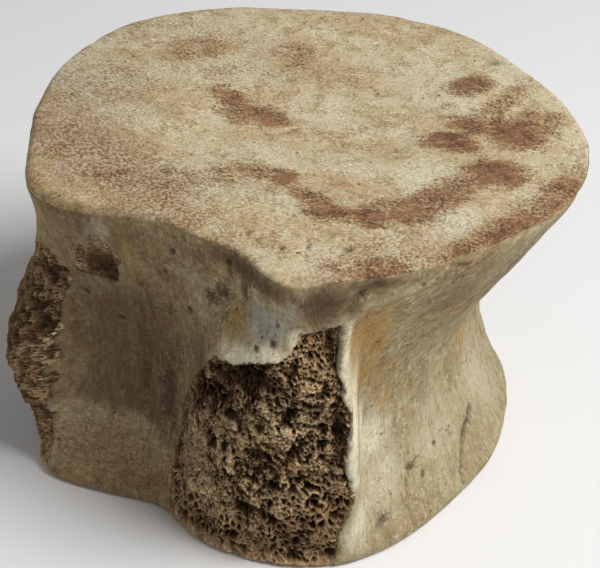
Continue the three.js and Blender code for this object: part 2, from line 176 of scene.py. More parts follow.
# Brown marks and washes of the joint face, as blots: x, y, half length, half width, turn, strength.
RUST_MARKS = [(-16, 0.5, 4, 2.8, -10, 0.95), (-11, -2, 5, 4, 0, 0.8),
              (-6.5, -1.5, 3.2, 2.4, 0, 0.95), (25, 7, 4.5, 3.3, 20, 1.05),
              (33, 15.5, 5.5, 4.8, 55, 1.05), (25.5, 14, 4, 3.2, 20, 0.9),
              (27, 26, 8, 2, 86, 0.7), (19, 27.5, 4.5, 3, 70, 0.95), (35, 23.5, 4, 3, 30, 0.65),
              (18.5, 18, 2.5, 1.2, 80, 0.45), (35.5, 1, 5, 4, 40, 1.05), (32, -6, 3, 3, 80, 0.75),
              (31, -11, 5, 3.5, 75, 0.85), (28, -17, 5, 4, 60, 0.95), (24, -22, 5, 3, 20, 1.0),
              (18.5, -24, 4, 2.4, 0, 0.9), (13, -21.5, 4.5, 2, -15, 0.8),
              (6.5, -18, 2.6, 2.2, 20, 0.95), (1.5, -19, 4, 2.6, 10, 0.65),
              (-2, -24, 4, 4, 50, 0.45), (-7, -29, 5, 4, 60, 0.40), (-17, -34, 5, 2.6, 0, 0.38),
              (-30, 12, 6, 4, 60, 0.40), (-44, 16, 4, 3.4, 30, 0.30), (-13, 20, 4, 5, 35, 0.38),
              (44, -12, 8, 3, 70, 0.9), (41, -21, 3, 3, 50, 0.6), (31.5, -34, 5, 2.4, 42, 0.95),
              (27, -37.5, 3, 1.6, 20, 0.6), (46.5, 2, 9, 2.4, 88, 0.7)]
PALE_PLACES = [(8, -10, 10, 5, 5, 0.7), (27, -4, 5, 6, 80, 0.7), (36, -16, 7, 3.4, 70, 0.7),
               (40, 6, 4, 8, 30, 0.45), (22, 3, 4, 5, 0, 0.4), (20, 38, 14, 7, -30, 0.45),
               (-26, -16, 6, 5, 35, 0.5), (15, -27.5, 9, 2, 0, 0.4), (4, 6, 14, 8, 0, 0.3),
               (10, 16, 10, 10, 0, 0.3)]
YELLOW_PLACES = [(10, -33, 24, 6, 10, 0.35), (-22, -37, 14, 6, -25, 0.3), (14, -14, 6, 2, 0, 0.5),
                 (-2, 8, 20, 8, 35, 0.15)]
RED_WASH = [(-20, -31, 22, 7, -20, 0.85), (-36, -12, 10, 10, 60, 0.60),
            (-26, 14, 20, 8, 10, 0.35), (33, -26, 12, 6, 55, 0.40), (0, -24, 10, 6, 20, 0.3),
            (45, 0, 16, 3, 85, 0.35)]
# Hollows and, where negative, lumps of the broken surfaces: angle, height, half width, half
# height and depth in mm.
RIGHT_HOLLOWS = [(24, 26, 3.0, 4.0, 1.2), (19, 42.5, 7.0, 2.2, 1.9), (13, 36, 4.5, 2.6, 1.6),
                 (6, 31, 2.4, 4.0, 1.4), (34.5, 48, 1.8, 4.0, 1.0), (11, 40.5, 1.4, 1.4, -1.2),
                 (16.3, 22, 0.9, 4.0, -1.0), (37.0, 32, 0.9, 3.6, 1.3), (20, 13, 1.6, 2.0, 1.0),
                 (39.6, 15, 1.2, 4.0, 0.8), (27, 37, 0.7, 0.9, 1.2), (29, 33, 3.0, 2.5, -0.6)]
LEFT_HOLLOWS = [(-32.5, 34, 1.6, 4.0, 1.4), (-40, 20, 4.0, 4.0, 1.0), (-33, 44, 2.5, 2.5, 0.8),
                (-30.2, 33, 0.8, 3.0, -0.8)]
FLAKE_HOLLOWS = [(-19.5, 50.4, 2.8, 2.6, 1.4)]
# tones of the broken surfaces, as touches, some of them painted shade and glints
# paler walls with painted glints, in these places
BRIGHT_AND_GLINT_WALLS = [(27, 35, 9, 8, 1.0), (15, 24, 2.0, 6, 1.0), (12, 12, 6, 4, 0.5),
                (22, 16, 6, 2.5, 0.7), (34, 44, 3, 4, 0.2), (33, 27, 3, 6, 0.6),
                (26, 20, 6, 2.0, 0.8), (18, 32, 5, 4, 0.6), (24, 47.5, 4, 1.0, 0.9),
                (5, 24, 4, 4, 0.4), (-30.6, 32, 0.8, 4.5, 1.0), (-56, 36, 5, 10, 0.4)]
DULL_WALLS = [(7, 19, 7, 7, 1.0), (3, 10, 4, 6, 0.8), (20, 33, 3, 2, 0.5), (-45, 22, 9, 10, 0.5),
              (-19, 56.5, 5, 3.5, 1.0)]
# brown walls, and painted shade over the lit edges along the right root's left side and round the flake
BROWN_AND_SHADED_WALLS = [(28, 8, 15, 9, 1.0), (12, 4, 14, 6, 0.8), (8, 33, 5, 4, 0.8), (16, 41, 6, 4, 0.8),
               (-37, 12, 9, 14, 1.0), (-33, 44, 4, 5, 0.9), (-19.3, 52, 8, 6, 1.0),
               (33, 48, 6, 6, 0.9), (-46, 20, 20, 30, 1.0), (0, 25, 4, 16, 0.8)]
# painted shade on the broken surfaces: places whose pores are painted darker, as if deeper, under the
# ledge and on the flake
PAINTED_SHADE_PLACES = [(16, 41, 9, 3.2, 0.6), (18, 6, 22, 5, 0.3), (21, 23, 3, 2, 0.4),
               (7, 32, 3, 2.5, 0.5), (-32, 34, 1.5, 3.5, 0.6), (20, 13, 2.5, 2.5, 0.5),
               (38, 31, 1.2, 6, 0.8), (-19.3, 50.0, 7, 3.2, 1.0), (33, 8, 6, 4, 0.5),
               (-46, 24, 20, 28, 0.7), (30, 42, 6, 1.5, 0.5)]

# Rings of the bone's mesh: up the side, on each rounding, and on the upper and the lower face.
SIDE_RINGS = 156
ROUND_RINGS = 7
FACE_RINGS = 38
FOOT_RINGS = 12
# kinds of rings, from the middle of the lower face to the middle of the upper one
KINDS = ("foot", "low", "side", "high", "face")

# Where the camera looks and stands, and the lamps: degrees round from the dorsal side, degrees
# up, and metres away. A lamp also has its width.
LOOK_AT = Vector((3.52, -6.10, 31.3)) * MM
CAMERA = {"round": 28.0, "up": 35.8, "away": 268.8 * MM, "roll": 3.1, "lens": 87.5}
LAMPS = [("key", 98, 55, 0.75, 0.45), ("fill", -27, 30, 0.8, 0.6)]
FLOOR_HALF = 3.0


def wrap(d):
    """An angle in degrees brought between -180 and 180."""
    return (np.asarray(d, float) + 540.0) % 360.0 - 180.0


def within(a, b, x):
    """Share of the way from a to b, held between 0 and 1."""
    return np.clip((np.asarray(x, float) - a) / (b - a), 0.0, 1.0)


def smooth(a, b, x):
    t = within(a, b, x)
    return t * t * (3.0 - 2.0 * t)


def bell(x):
    return np.exp(-np.square(x))


def grown(row, x):
    """The amount of an (amount, from, to) row at x."""
    amount, start, end = row
    return amount * smooth(start, end, x)


def faded(row, x):
    """What is left of the amount of an (amount, from, to) row at x."""
    amount, start, end = row
    return amount * (1 - smooth(start, end, x))


def bulged(row, x):
    amount, middle, half = row
    return amount * bell((x - middle) / half)


def swell(at, base, rows):
    out = np.full(np.shape(at), float(base))
    for where, by, wide in rows:
        out = out + by * bell(wrap(at - where) / wide)
    return out


def lattice(i, j):
    s = np.sin(i * 127.1 + j * 311.7) * 43758.5453
    return s - np.floor(s)


def rough(u, v):
    """Repeatable rough field between -1 and 1, smooth between lattice points."""
    i, j = np.floor(u), np.floor(v)
    f, g = smooth(0, 1, u - i), smooth(0, 1, v - j)
    a = lattice(i, j) * (1 - f) + lattice(i + 1, j) * f
    b = lattice(i, j + 1) * (1 - f) + lattice(i + 1, j + 1) * f
    return 2 * (a * (1 - g) + b * g) - 1


def grain(points, size, seed):
    """Smooth rough field in space, between -1 and 1, with lumps of the given size in mm."""
    p = np.asarray(points, float) / size + 31.7 * (seed + 1)
    i = np.floor(p)
    f = p - i
    f = f * f * (3 - 2 * f)
    out = 0.0
    for dx in (0, 1):
        for dy in (0, 1):
            for dz in (0, 1):
                s = np.sin((i[..., 0] + dx) * 12.9898 + (i[..., 1] + dy) * 78.233
                           + (i[..., 2] + dz) * 37.719) * 43758.5453
                w = ((f[..., 0] if dx else 1 - f[..., 0]) * (f[..., 1] if dy else 1 - f[..., 1])
                     * (f[..., 2] if dz else 1 - f[..., 2]))
                out = out + (s - np.floor(s)) * w
    return 2 * out - 1


def grains(points, rows):
    return sum(high * grain(points, size, seed) for high, size, seed in rows)


class Bone:
    """The bone's surface from its main sizes, all in millimetres."""

    def __init__(self, s):
        self.length = s.length / MM
        self.upper = s.upper_radius / MM
        self.lower = s.lower_radius / MM
        self.waist = s.waist_depth / MM
        self.height = s.waist_height
        self.round = s.rim_round / MM
        self.fall = s.rim_fall / MM
        self.dish = s.face_dish / MM
        self.lumps = s.scar_lumps / MM

    def rim(self, angle):
        """Rounding of the upper rim: crisp at the front and right, worn at the far left."""
        crisp = smooth(-34, -8, angle) * (1 - smooth(110, 150, angle))
        return self.round * (1 - 0.50 * crisp + 0.25 * bell((angle + 55) / 22))

    def side_top(self, angle):
        """Height where the side ends and the upper rounding starts."""
        return self.length - self.fall - self.rim(angle)

    def upper_edge(self, angle):
        return swell(angle, self.upper, UPPER_OUTLINE) - swell(angle, 0, SHELF)

    def lower_edge(self, angle):
        return swell(angle, self.lower, LOWER_OUTLINE)

    def hollow(self, share):
        """Depth of a joint face's hollow at a share of its radius."""
        return self.dish * (1 - smooth(0, DISH_SHARE, share))

    def draw(self, angle, h):
        """How fully the side is drawn in at a share of the length."""
        low = (self.round + LIP[0]) / self.length
        high = 1 - (self.fall + self.round + LIP[1]) / self.length
        t = within(low, high, h)
        at = swell(angle, self.height, WAIST_HEIGHTS)
        above = ((1 - t) / (1 - at)) ** WAIST_POWERS[0]
        below = np.sin(np.pi / 2 * np.minimum(t / at, 1.0) ** WAIST_POWERS[1])
        below = np.where(t > at, 1.0, below)
        both = np.exp(-above / WAIST_BLEND) + np.exp(-below / WAIST_BLEND)
        return np.clip(-WAIST_BLEND * np.log(both), 0, 1)

    def right_root(self, angle, t):
        """1 on the right root of the arch and 0 away from it."""
        root = RIGHT_ROOT
        drift = smooth(*root["drift"], t)
        left = root["left"] + root["left_drift"] * drift
        right = root["right"] + root["right_drift"] * drift
        starts = smooth(left + root["left_soft"][0], left + root["left_soft"][1], angle)
        ends = smooth(right + root["right_soft"][0], right + root["right_soft"][1], angle)
        return starts * (1 - ends) * (1 - smooth(*root["top"], t))

    def left_root(self, angle, t):
        """1 on the left root of the arch and 0 away from it."""
        root = LEFT_ROOT
        right = root["right"][0] + root["right_drift"] * smooth(*root["drift"], t)
        return smooth(*root["left"], angle) * (1 - smooth(right, root["right"][1], angle))

    def side(self, angle, z):
        """Radius of the sound surface, and the lumps of the broken one."""
        t = z / self.length
        hollow = swell(angle, self.waist, WAIST_SWELLS) * self.draw(angle, t)
        right, left, root = self.right_root(angle, t), self.left_root(angle, t), LEFT_ROOT
        filled = root["fill"] * hollow * (1 - smooth(*root["top"], t))
        bulge = root["stand"] * bell((t - root["middle"]) / root["half"])
        stand = np.maximum(right * (hollow + RIGHT_ROOT["stand"] * np.sin(np.pi * t)),
                           left * (filled + bulge))
        broken = np.maximum(right, left * (1 - smooth(*root["break_top"], t)))
        broken = broken * smooth(*FOOT_FADE, t)
        uneven = sum(high * rough(angle / wide + shift, t * tall)
                     for high, wide, tall, shift in LUMPS)
        shelf = swell(angle, 0, SHELF) * smooth(*SHELF_SLOPE, t)
        upper = swell(angle, self.upper, UPPER_OUTLINE) - shelf
        radius = self.lower_edge(angle) * (1 - t) + upper * t - hollow + stand
        return radius, self.lumps * broken * uneven


# Where the breaks are: distances in mm inside each broken patch, negative outside.
def inside_edges(angle, z, radius, left, right, top):
    arc = DEGREE * radius
    across = np.minimum((right - angle) * arc, (angle - left) * arc)
    return np.minimum(across, TOP_SLANT * (top - z))


def right_break(angle, z, radius):
    b = RIGHT_BREAK
    right = b["right"] + faded(b["spread"], z) + bulged(b["bulge"], z)
    left = b["left"] + faded(b["foot"], z)
    rise, start, end = b["rise"]
    top = b["low"] + rise * within(start, end, angle)
    top = top + grown(b["shelf"], angle) + grown(b["horn"], angle)
    return inside_edges(angle, z, radius, left, right, top)


def left_break(angle, z, radius):
    b = LEFT_BREAK
    right = b["right"] + bulged(b["right_bulge"], z)
    left = b["left"] + bulged(b["left_bulge"], z) + grown(b["corner"], z) + faded(b["foot"], z)
    top = b["top"] - grown(b["slope"], angle)
    return inside_edges(angle, z, radius, left, right, top)


def flake_break(angle, z, radius):
    """A flake in the shape of a kite, pointed above."""
    f = FLAKE
    across, up = (angle - f["at"]) * DEGREE * radius, z - f["height"]
    half = f["half"] - grown(f["narrow"], up)
    point = f["point"] * bell(across / f["point_half"]) * (up > 0)
    return np.minimum(half - np.abs(across - f["lean"] * up), f["reach"] + point - np.abs(up))


def lost_skin(angle, z, radius):
    """Triangle over the flake, where only a thin skin came away."""
    f = SKIN
    across, up = (angle - f["at"]) * DEGREE * radius, z - f["height"]
    half = f["half"] * (1 - up / f["tall"])
    return np.minimum(half - np.abs(across - f["lean"] * up), up + f["below"])


def ragged(points, angle):
    """Unevenness of the breaks' edges, calmer along the ledge over the right root."""
    calm = 1 - 0.65 * bell((angle - 19) / 7) * smooth(38, 42, points[..., 2])
    return calm * grains(points, EDGE_GRAIN)


def banks(angle, z, inside):
    """Swelling of the sound bone along the right break, as far out as each bank's reach."""
    return sum(rise * bell((angle - at) / wide) * bell((z - up) / tall)
               * smooth(-reach, -0.8, inside) for at, up, wide, tall, rise, reach in BANKS)


def near_path(angle, z, path, radius=MEAN_RADIUS):
    """Distance in mm from a line drawn on the side through (angle, height) points."""
    best = np.full(np.shape(angle), 1e9)
    k = DEGREE * radius
    for (a0, z0), (a1, z1) in zip(path, path[1:]):
        ax, bx = a0 * k, a1 * k
        dx, dz = bx - ax, z1 - z0
        t = ((angle * k - ax) * dx + (z - z0) * dz) / (dx * dx + dz * dz)
        t = np.clip(t, 0, 1)
        best = np.minimum(best, np.hypot(angle * k - ax - t * dx, z - z0 - t * dz))
    return best


def touches(angle, z, places):
    """Soft touches on the side, the strongest one at each point."""
    out = np.zeros(np.shape(z))
    for at, up, wide, tall, strength in places:
        away = np.hypot((angle - at) / wide, (z - up) / tall)
        out = np.maximum(out, strength * bell(away))
    return out


def blots(points, places, soft=0.9):
    """Blots with uneven edges on the joint face, the strongest one at each point."""
    x, y = points[..., 0], points[..., 1]
    out = np.zeros(np.shape(x))
    uneven = grains(points, BLOT_GRAIN)
    for at, to, long, wide, turn, strength in places:
        c, s = math.cos(math.radians(turn)), math.sin(math.radians(turn))
        u, v = (x - at) * c + (y - to) * s, -(x - at) * s + (y - to) * c
        away = np.hypot(u / long, v / wide) + uneven
        out = np.maximum(out, strength * (1 - smooth(1 - soft * 0.6, 1 + soft, away)))
    return out


def mesh_piece(name, points, faces, marks=None):
    """A mesh object at the origin with its named marks stored on its points."""
    mesh = bpy.data.meshes.new(name)
    mesh.vertices.add(len(points))
    mesh.vertices.foreach_set("co", np.asarray(points, np.float32).ravel())
    sizes = np.array([len(f) for f in faces], np.int32)
    loops = np.concatenate([np.asarray(f, np.int32).ravel() for f in faces])
    starts = np.concatenate([[0], np.cumsum(sizes)[:-1]]).astype(np.int32)
    mesh.loops.add(len(loops))
    mesh.loops.foreach_set("vertex_index", loops)
    mesh.polygons.add(len(faces))
    mesh.polygons.foreach_set("loop_start", starts)
    mesh.update(calc_edges=True)
    mesh.validate()
    for key, value in (marks or {}).items():
        kind, field = ("FLOAT_VECTOR", "vector") if np.ndim(value) == 2 else ("FLOAT", "value")
        layer = mesh.attributes.new(key, kind, "POINT")
        layer.data.foreach_set(field, np.asarray(value, np.float32).ravel())
    mesh.polygons.foreach_set("use_smooth", np.ones(len(faces), bool))
    piece = bpy.data.objects.new(name, mesh)
    bpy.context.scene.collection.objects.link(piece)
    return piece


def grid_faces(rows, cols, closed):
    """Quads between the rows of a grid, row 0 lowest, columns anticlockwise seen from above."""
    index = np.arange(rows * cols).reshape(rows, cols)
    right = np.roll(index, -1, axis=1)
    if not closed:
        index, right = index[:, :-1], right[:, :-1]
    quads = np.stack([index[:-1], right[:-1], right[1:], index[1:]], -1)
    return [tuple(quad) for quad in quads.reshape(-1, 4)]


def around_angles():
    """Angles of the bone's columns, closest where the breaks and cracks are."""
    steps, angle = [], -180.0
    while angle < 180.0:
        steps.append(angle)
        fine = smooth(-72, -62, angle) * (1 - smooth(48, 60, angle))
        middling = smooth(45, 60, angle) * (1 - smooth(118, 130, angle))
        angle += 2.0 - 1.50 * fine - 1.15 * middling
    # the last step is shared out, so that the columns meet
    spread = 360.0 / (angle + 180.0)
    return np.array(steps) * spread + (180.0 * spread - 180.0)


def outwards(angle):
    turn = np.radians(angle)
    return np.stack([np.sin(turn), -np.cos(turn), np.zeros_like(angle)], -1)


def on_bone(out, radius, height):
    """Points at a radius along the outward directions and at a height."""
    points = out * radius[..., None]
    points[..., 2] = height
    return points


def ring_stations():
    """Rings from the middle of the lower face round to the middle of the upper one."""
    stations = [("foot", share) for share in np.linspace(0, FOOT_SHARE[0], FOOT_RINGS)[1:]]
    stations += [("foot", FOOT_SHARE[1])]
    stations += [("low", turn) for turn in np.linspace(0, 90, ROUND_RINGS)[:-1]]
    stations += [("side", share) for share in np.linspace(0, 1, SIDE_RINGS)]
    stations += [("high", turn) for turn in np.linspace(90, 0, ROUND_RINGS)[1:]]
    stations += [("face", share) for share in np.linspace(RIM_SHARE, 0, FACE_RINGS)[:-1]]
    return stations


def ring(bone, kind, value, angle):
    """Radius and height of one ring. A rounding's 90 degrees is at the side, its 0 at the face."""
    if kind == "foot":
        return value * bone.lower_edge(angle), np.full_like(angle, bone.hollow(value))
    if kind == "face":
        fall = bone.hollow(value) + 0.8 * bone.fall * float(smooth(0.80, 1.0, value))
        return value * bone.upper_edge(angle), np.full_like(angle, bone.length - fall)
    top = bone.side_top(angle)
    if kind == "side":
        z = bone.round + (top - bone.round) * value
        return bone.side(angle, z)[0], z
    c, s = math.cos(math.radians(value)), math.sin(math.radians(value))
    if kind == "low":
        rim = np.full_like(angle, bone.round)
        return bone.side(angle, rim)[0] - rim * (1 - s), rim * (1 - c)
    rim = bone.rim(angle)
    return bone.side(angle, top)[0] - rim * (1 - s), top + rim * c


class Surface:
    """Outer surface of the sound bone: a grid with its rows up the bone, its columns round it."""

    def __init__(self, bone):
        angle = around_angles()
        stations = ring_stations()
        rings = [ring(bone, kind, value, angle) for kind, value in stations]
        self.bone = bone
        self.radius = np.array([radius for radius, _ in rings])
        self.height = np.array([height for _, height in rings])
        self.angle = np.broadcast_to(angle, self.height.shape)
        self.out = outwards(self.angle)
        self.points = on_bone(self.out, self.radius, self.height)
        self.top = bone.side_top(angle)
        self.edge = bone.upper_edge(angle)
        kind = np.array([KINDS.index(kind) for kind, _ in stations])[:, None]
        low, high = KINDS.index("low"), KINDS.index("high")
        self.on_side = np.broadcast_to((kind >= low) & (kind <= high), self.height.shape)
        self.on_top = np.broadcast_to(kind >= high, self.height.shape)
        self.side = np.where(self.on_side, 1.0, 0.0)

    def open_breaks(self):
        """Finds the broken patches, ragged at their edges, where the outer bone stops short."""
        A, Z, R = self.angle, self.height, self.radius
        self.ragged = ragged(self.points, A)
        roots = np.maximum(right_break(A, Z, R), left_break(A, Z, R)) + self.ragged
        inside = np.maximum(roots, flake_break(A, Z, R) + 0.5 * self.ragged)
        self.inside = np.where(self.on_side & (Z < self.bone.length - 2.5), inside, FAR_OUTSIDE)
        foot = 0.17 + 0.83 * smooth(0.5, 7, Z)
        return RECESS * foot * smooth(0.0, 0.45, self.inside)

    def across(self, at, up):
        """Distances in mm of every point from a place on the side, sideways and upwards."""
        return wrap(self.angle - at) * self.radius * DEGREE, self.height - up

    def add_lines(self):
        """Height of the raised lines, sunk lines and cracks."""
        A, Z = self.angle, self.height
        self.ridge = bell(near_path(A, Z, RIDGE) / 1.0)
        groove = bell(near_path(A, Z, GROOVE) / 0.8)
        relief = 0.9 * self.ridge * (1 - 0.6 * smooth(45, 56, A)) - 1.0 * groove
        for path, wide, deep in CRACKS:
            away = near_path(A, Z, path, WAIST_RADIUS) + 0.2 * grain(self.points, 1.2, 8)
            crack = deep * bell(away / wide)
            relief -= crack
            # painted shade along the cracks
            self.crack = np.maximum(self.crack, crack)
        return relief

    def add_pits(self):
        """Height of the small pits, the knobs and the two blood vessels' openings."""
        relief = np.zeros_like(self.height)
        for at, up, size in SIDE_PITS:
            away = np.hypot(*self.across(at, up)) / size
            relief -= size * 1.3 * bell(away)
            # painted shade in each pit
            self.crack = np.maximum(self.crack, 1 - smooth(0.5, 1.3, away))
        for at, up, size, tall in KNOBS:
            relief += tall * bell(np.hypot(*self.across(at, up)) / size)
        vessel = np.zeros_like(self.height)
        for hand in (-1, 1):
            off, rise = self.across(180 - hand * VESSEL["aside"], VESSEL["height"])
            away = np.hypot(off / VESSEL["half"], rise / VESSEL["tall"])
            vessel = np.maximum(vessel, 1 - smooth(0.55, 1.1, away))
        # painted shade in the vessels' openings
        self.crack = np.maximum(self.crack, 0.8 * vessel)
        return relief - VESSEL["deep"] * vessel

    def shape_side(self):
        """Moves the side in at the breaks, and out and in by its relief."""
        A, Z = self.angle, self.height
        sink = self.open_breaks()
        self.crack = np.zeros_like(Z)
        self.lip = (bell((self.inside + 1.0) / 1.1) * smooth(14, 26, Z) * (1 - smooth(50, 56, Z))
                    * smooth(30, 37, A) * (1 - smooth(47, 52, A)))
        swollen = banks(A, Z, self.inside)
        relief = grains(self.points, SIDE_GRAIN) + 0.4 * self.lip + swollen
        near = np.clip(swollen, 0, 1) * smooth(-4, -1, self.inside)
        relief += grains(self.points, BANK_GRAIN) * near
        relief += self.add_lines() + self.add_pits()
        relief = np.where(self.on_side, relief * smooth(0.0, 3.0, Z), 0)
        self.points = self.points + self.out * ((relief - sink) * self.side)[..., None]

    def shape_face(self):
        """Moves the upper joint face up and down by its relief and pits."""
        P = self.points
        self.face = np.where(self.on_top, smooth(-1.2, 0.4, self.height - self.top), 0.0)
        up = grains(P, FACE_GRAIN) - 0.35
        pits = np.zeros_like(self.height)
        for x, y, size in FACE_PITS:
            pits = np.maximum(pits, bell(np.hypot(P[..., 0] - x, P[..., 1] - y) / size))
        P[..., 2] += self.face * (up - 0.7 * pits)
        P[..., 2] = np.maximum(P[..., 2], 0.0)
        # painted shade in the pits of the joint face
        self.crack = np.maximum(self.crack * self.side, pits * self.face)

    def marks(self):
        """Where each colour and wear of the sound bone lies, and where shade and highlight are painted,
        for its material.
        """
        A, Z, P, side, face = self.angle, self.height, self.points, self.side, self.face
        rim_strip = bell((self.radius / self.edge - 0.985) / 0.04) * bell((A - 74) / 24)
        # painted shade, partly the floor's own darker colour: the groove of the spinal cord is painted
        # darkest from this height up
        above = Z + 0.8 * grain(P, 2.5, 14) - 17.5 + 5 * smooth(-14, -6, A)
        groove = 0.42 + 0.42 * smooth(-1.2, 1.2, above) - 0.25 * smooth(40, 52, Z)
        # the pale marks; past 1, on the ledge and the lip, they are painted highlight
        chalky = touches(A, Z, CHALK_AND_HIGHLIGHT) + self.lip + 0.35 * self.ridge * (1 - smooth(44, 52, A))
        skin = 0.45 * smooth(-0.4, 0.6, lost_skin(A, Z, self.radius) + 0.5 * self.ragged)
        below_rim = 1 - smooth(self.bone.length - 4.5, self.bone.length - 1.2, Z)
        flare = smooth(28, 36, A) * (1 - smooth(125, 145, A))
        twist = np.radians(A - 2.2 * flare * np.maximum(Z - 44, 0))
        yellow, white = blots(P, YELLOW_PLACES), blots(P, PALE_PLACES)
        return {
            "stain": face * np.maximum(blots(P, RUST_MARKS, 0.8), rim_strip),
            "crack": self.crack,
            # partly painted shade: the sound bone under the breaks, seen only through gaps in the spongy
            # surface, takes the dark pore colour
            "raw_and_shaded": smooth(0.10, 0.45, self.inside) * side,
            "warm": np.maximum(side * touches(A, Z, OCHRE), face * yellow),
            "pale": np.clip(np.maximum(side * chalky, face * white), 0, 2),
            "ash": side * np.maximum(touches(A, Z, ASH), skin),
            # painted shade, partly real grey: the groove's floor and the places under the rim and the
            # flare
            "shade": side * np.maximum(touches(A, Z, GREY_AND_PAINTED_SHADE), bell((A + 17) / 20) * groove),
            "rose": np.maximum(side * touches(A, Z, ROSE), face * blots(P, RED_WASH)),
            "dark": side * touches(A, Z, UMBER),
            "streaks": side * below_rim * (1 - 0.5 * bell((A + 20) / 12)),
            "side": side * (1 - face),
            "lie": np.stack([60 * np.cos(twist), 60 * np.sin(twist), Z], -1),
        }


def make_bone_mesh(bone):
    """Points, faces and marks of the sound bone, closed by a point in the middle of each face."""
    surface = Surface(bone)
    surface.shape_side()
    surface.shape_face()
    rows, cols = surface.height.shape
    middles = [[0, 0, bone.dish], [0, 0, bone.length - bone.dish - 0.3]]
    points = np.vstack([surface.points.reshape(-1, 3), middles])
    points[:, :2] -= MIDDLE
    faces = grid_faces(rows, cols, True)
    low_middle, high_middle, last = rows * cols, rows * cols + 1, (rows - 1) * cols
    for j in range(cols):
        k = (j + 1) % cols
        faces.append((low_middle, k, j))
        faces.append((high_middle, last + j, last + k))
    flat = {}
    for key, value in surface.marks().items():
        v = value.reshape(-1, 3) if value.ndim == 3 else value.reshape(-1)
        flat[key] = np.concatenate([v, v[:1], v[-1:]])
    return points * MM, faces, flat


def patch_depth(bone, plan, A, Z, R, P, d):
    """Depth of the plain broken surface under the sound one, and its hollows."""
    sink, loose = plan["sink"], plan["loose"]
    rim = bone.round * (1 - np.sqrt(1 - (np.clip(bone.round - Z, 0, bone.round) / bone.round) ** 2))
    dip = np.zeros_like(Z)
    for at, up, wide, tall, deep in plan["hollows"]:
        dip = dip + deep * bell(np.hypot((A - at) * R * DEGREE / wide, (Z - up) / tall))
    dip = dip + grains(P, BREAK_GRAIN) * loose * (0.4 + 0.6 * sink)
    dip = dip * smooth(0.2, 5.0, Z) * smooth(-0.5, 1.5, d)
    sunk = WALL_SINK * sink * smooth(0.2, 3.0, d) * smooth(0.5, 6, Z)
    under_edge = 2.2 * (1 - smooth(-1.4, -0.1, d))
    return rim + np.maximum(0.2 + sunk + under_edge + dip, 0.1), dip


def make_patch(bone, plan):
    """Closed wedge whose outer side is the plain broken surface, before its pores are opened."""
    span, heights, cell = plan["span"], plan["heights"], plan["cell"]
    cols = int((span[1] - span[0]) * DEGREE * MEAN_RADIUS / cell)
    rows = int((heights[1] - heights[0]) / cell)
    A, Z = np.meshgrid(np.linspace(*span, cols), np.linspace(*heights, rows))
    R, lumps = bone.side(A, Z)
    out = outwards(A)
    P = on_bone(out, R, Z)
    d = plan["where"](A, Z, R) + ragged(P, A) * plan["loose"]
    depth, dip = patch_depth(bone, plan, A, Z, R, P, d)
    P = on_bone(out, R + lumps * smooth(0, 2, d) - depth, Z)

    index = np.arange(rows * cols).reshape(rows, cols)
    rim = np.concatenate([index[0, :-1], index[:-1, -1], index[-1, :0:-1], index[:0:-1, 0]])
    inner = rows * cols
    faces = grid_faces(rows, cols, False)
    faces += [(b, a, inner) for a, b in zip(rim, np.roll(rim, -1))]
    middle = math.radians(sum(span) / 2)
    apex = [CORE_RADIUS * math.sin(middle), -CORE_RADIUS * math.cos(middle), sum(heights) / 2]
    points = np.vstack([P.reshape(-1, 3), [apex]])
    points[:, :2] -= MIDDLE

    dull = touches(A, Z, DULL_WALLS)
    opened = smooth(-0.9, -0.1, d) * (0.22 + 0.78 * smooth(0.5, 5.0, Z)) * (1 - 0.5 * dull)
    coarse = smooth(19, 27, A) * (1 - smooth(16, 24, Z))
    coarse = np.maximum(coarse, 0.8 * (1 - smooth(8, 14, Z)))
    # deep is painted shade: it only darkens the colour, as if the pores were deeper
    fields = {"opened": opened, "coarse": coarse, "dip": dip, "hollow": 0 * dip, "dull": dull,
              "bright": touches(A, Z, BRIGHT_AND_GLINT_WALLS), "brown": touches(A, Z, BROWN_AND_SHADED_WALLS),
              "deep": touches(A, Z, PAINTED_SHADE_PLACES)}
    marks = {key: np.append(value.reshape(-1), 0.0) for key, value in fields.items()}
    marks["out"] = np.vstack([out.reshape(-1, 3), [[0, 0, 0]]])
    return points * MM, faces, marks


# The spongy pieces: each one's break, the angles and heights it spans, its mesh step, its hollows,
# its share of the sink, how loose its edge is, and its shares of the pores' size, of their depth
# and of the cavities' depth.
PATCHES = [
    {"name": "right_root_low", "where": right_break, "span": (-7.0, 47.0), "heights": (0.3, 28.0),
     "cell": 0.145, "hollows": RIGHT_HOLLOWS, "sink": 1.0, "loose": 1.0,
     "pore_size": 1.0, "pore_depth": 1.0, "cavity_depth": 1.0},
    {"name": "right_root_high", "where": right_break, "span": (-7.0, 43.0), "heights": (28.0, 57.5),
     "cell": 0.145, "hollows": RIGHT_HOLLOWS, "sink": 1.0, "loose": 1.0,
     "pore_size": 1.0, "pore_depth": 1.0, "cavity_depth": 0.8},
    {"name": "left_root", "where": left_break, "span": (-65.0, -25.0), "heights": (0.3, 51.5),
     "cell": 0.17, "hollows": LEFT_HOLLOWS, "sink": 0.5, "loose": 1.0,
     "pore_size": 0.78, "pore_depth": 0.75, "cavity_depth": 0.4},
    {"name": "lost_flake", "where": flake_break, "span": (-26.5, -11.0), "heights": (44.5, 61.0),
     "cell": 0.15, "hollows": FLAKE_HOLLOWS, "sink": 0.6, "loose": 0.3,
     "pore_size": 0.8, "pore_depth": 0.35, "cavity_depth": 0.2},
]


# Small helpers for node trees. A value is another node's output, or a plain number or colour.
def feed(tree, socket, value):
    if hasattr(value, "is_linked"):
        tree.links.new(value, socket)
    elif value is not None:
        socket.default_value = value


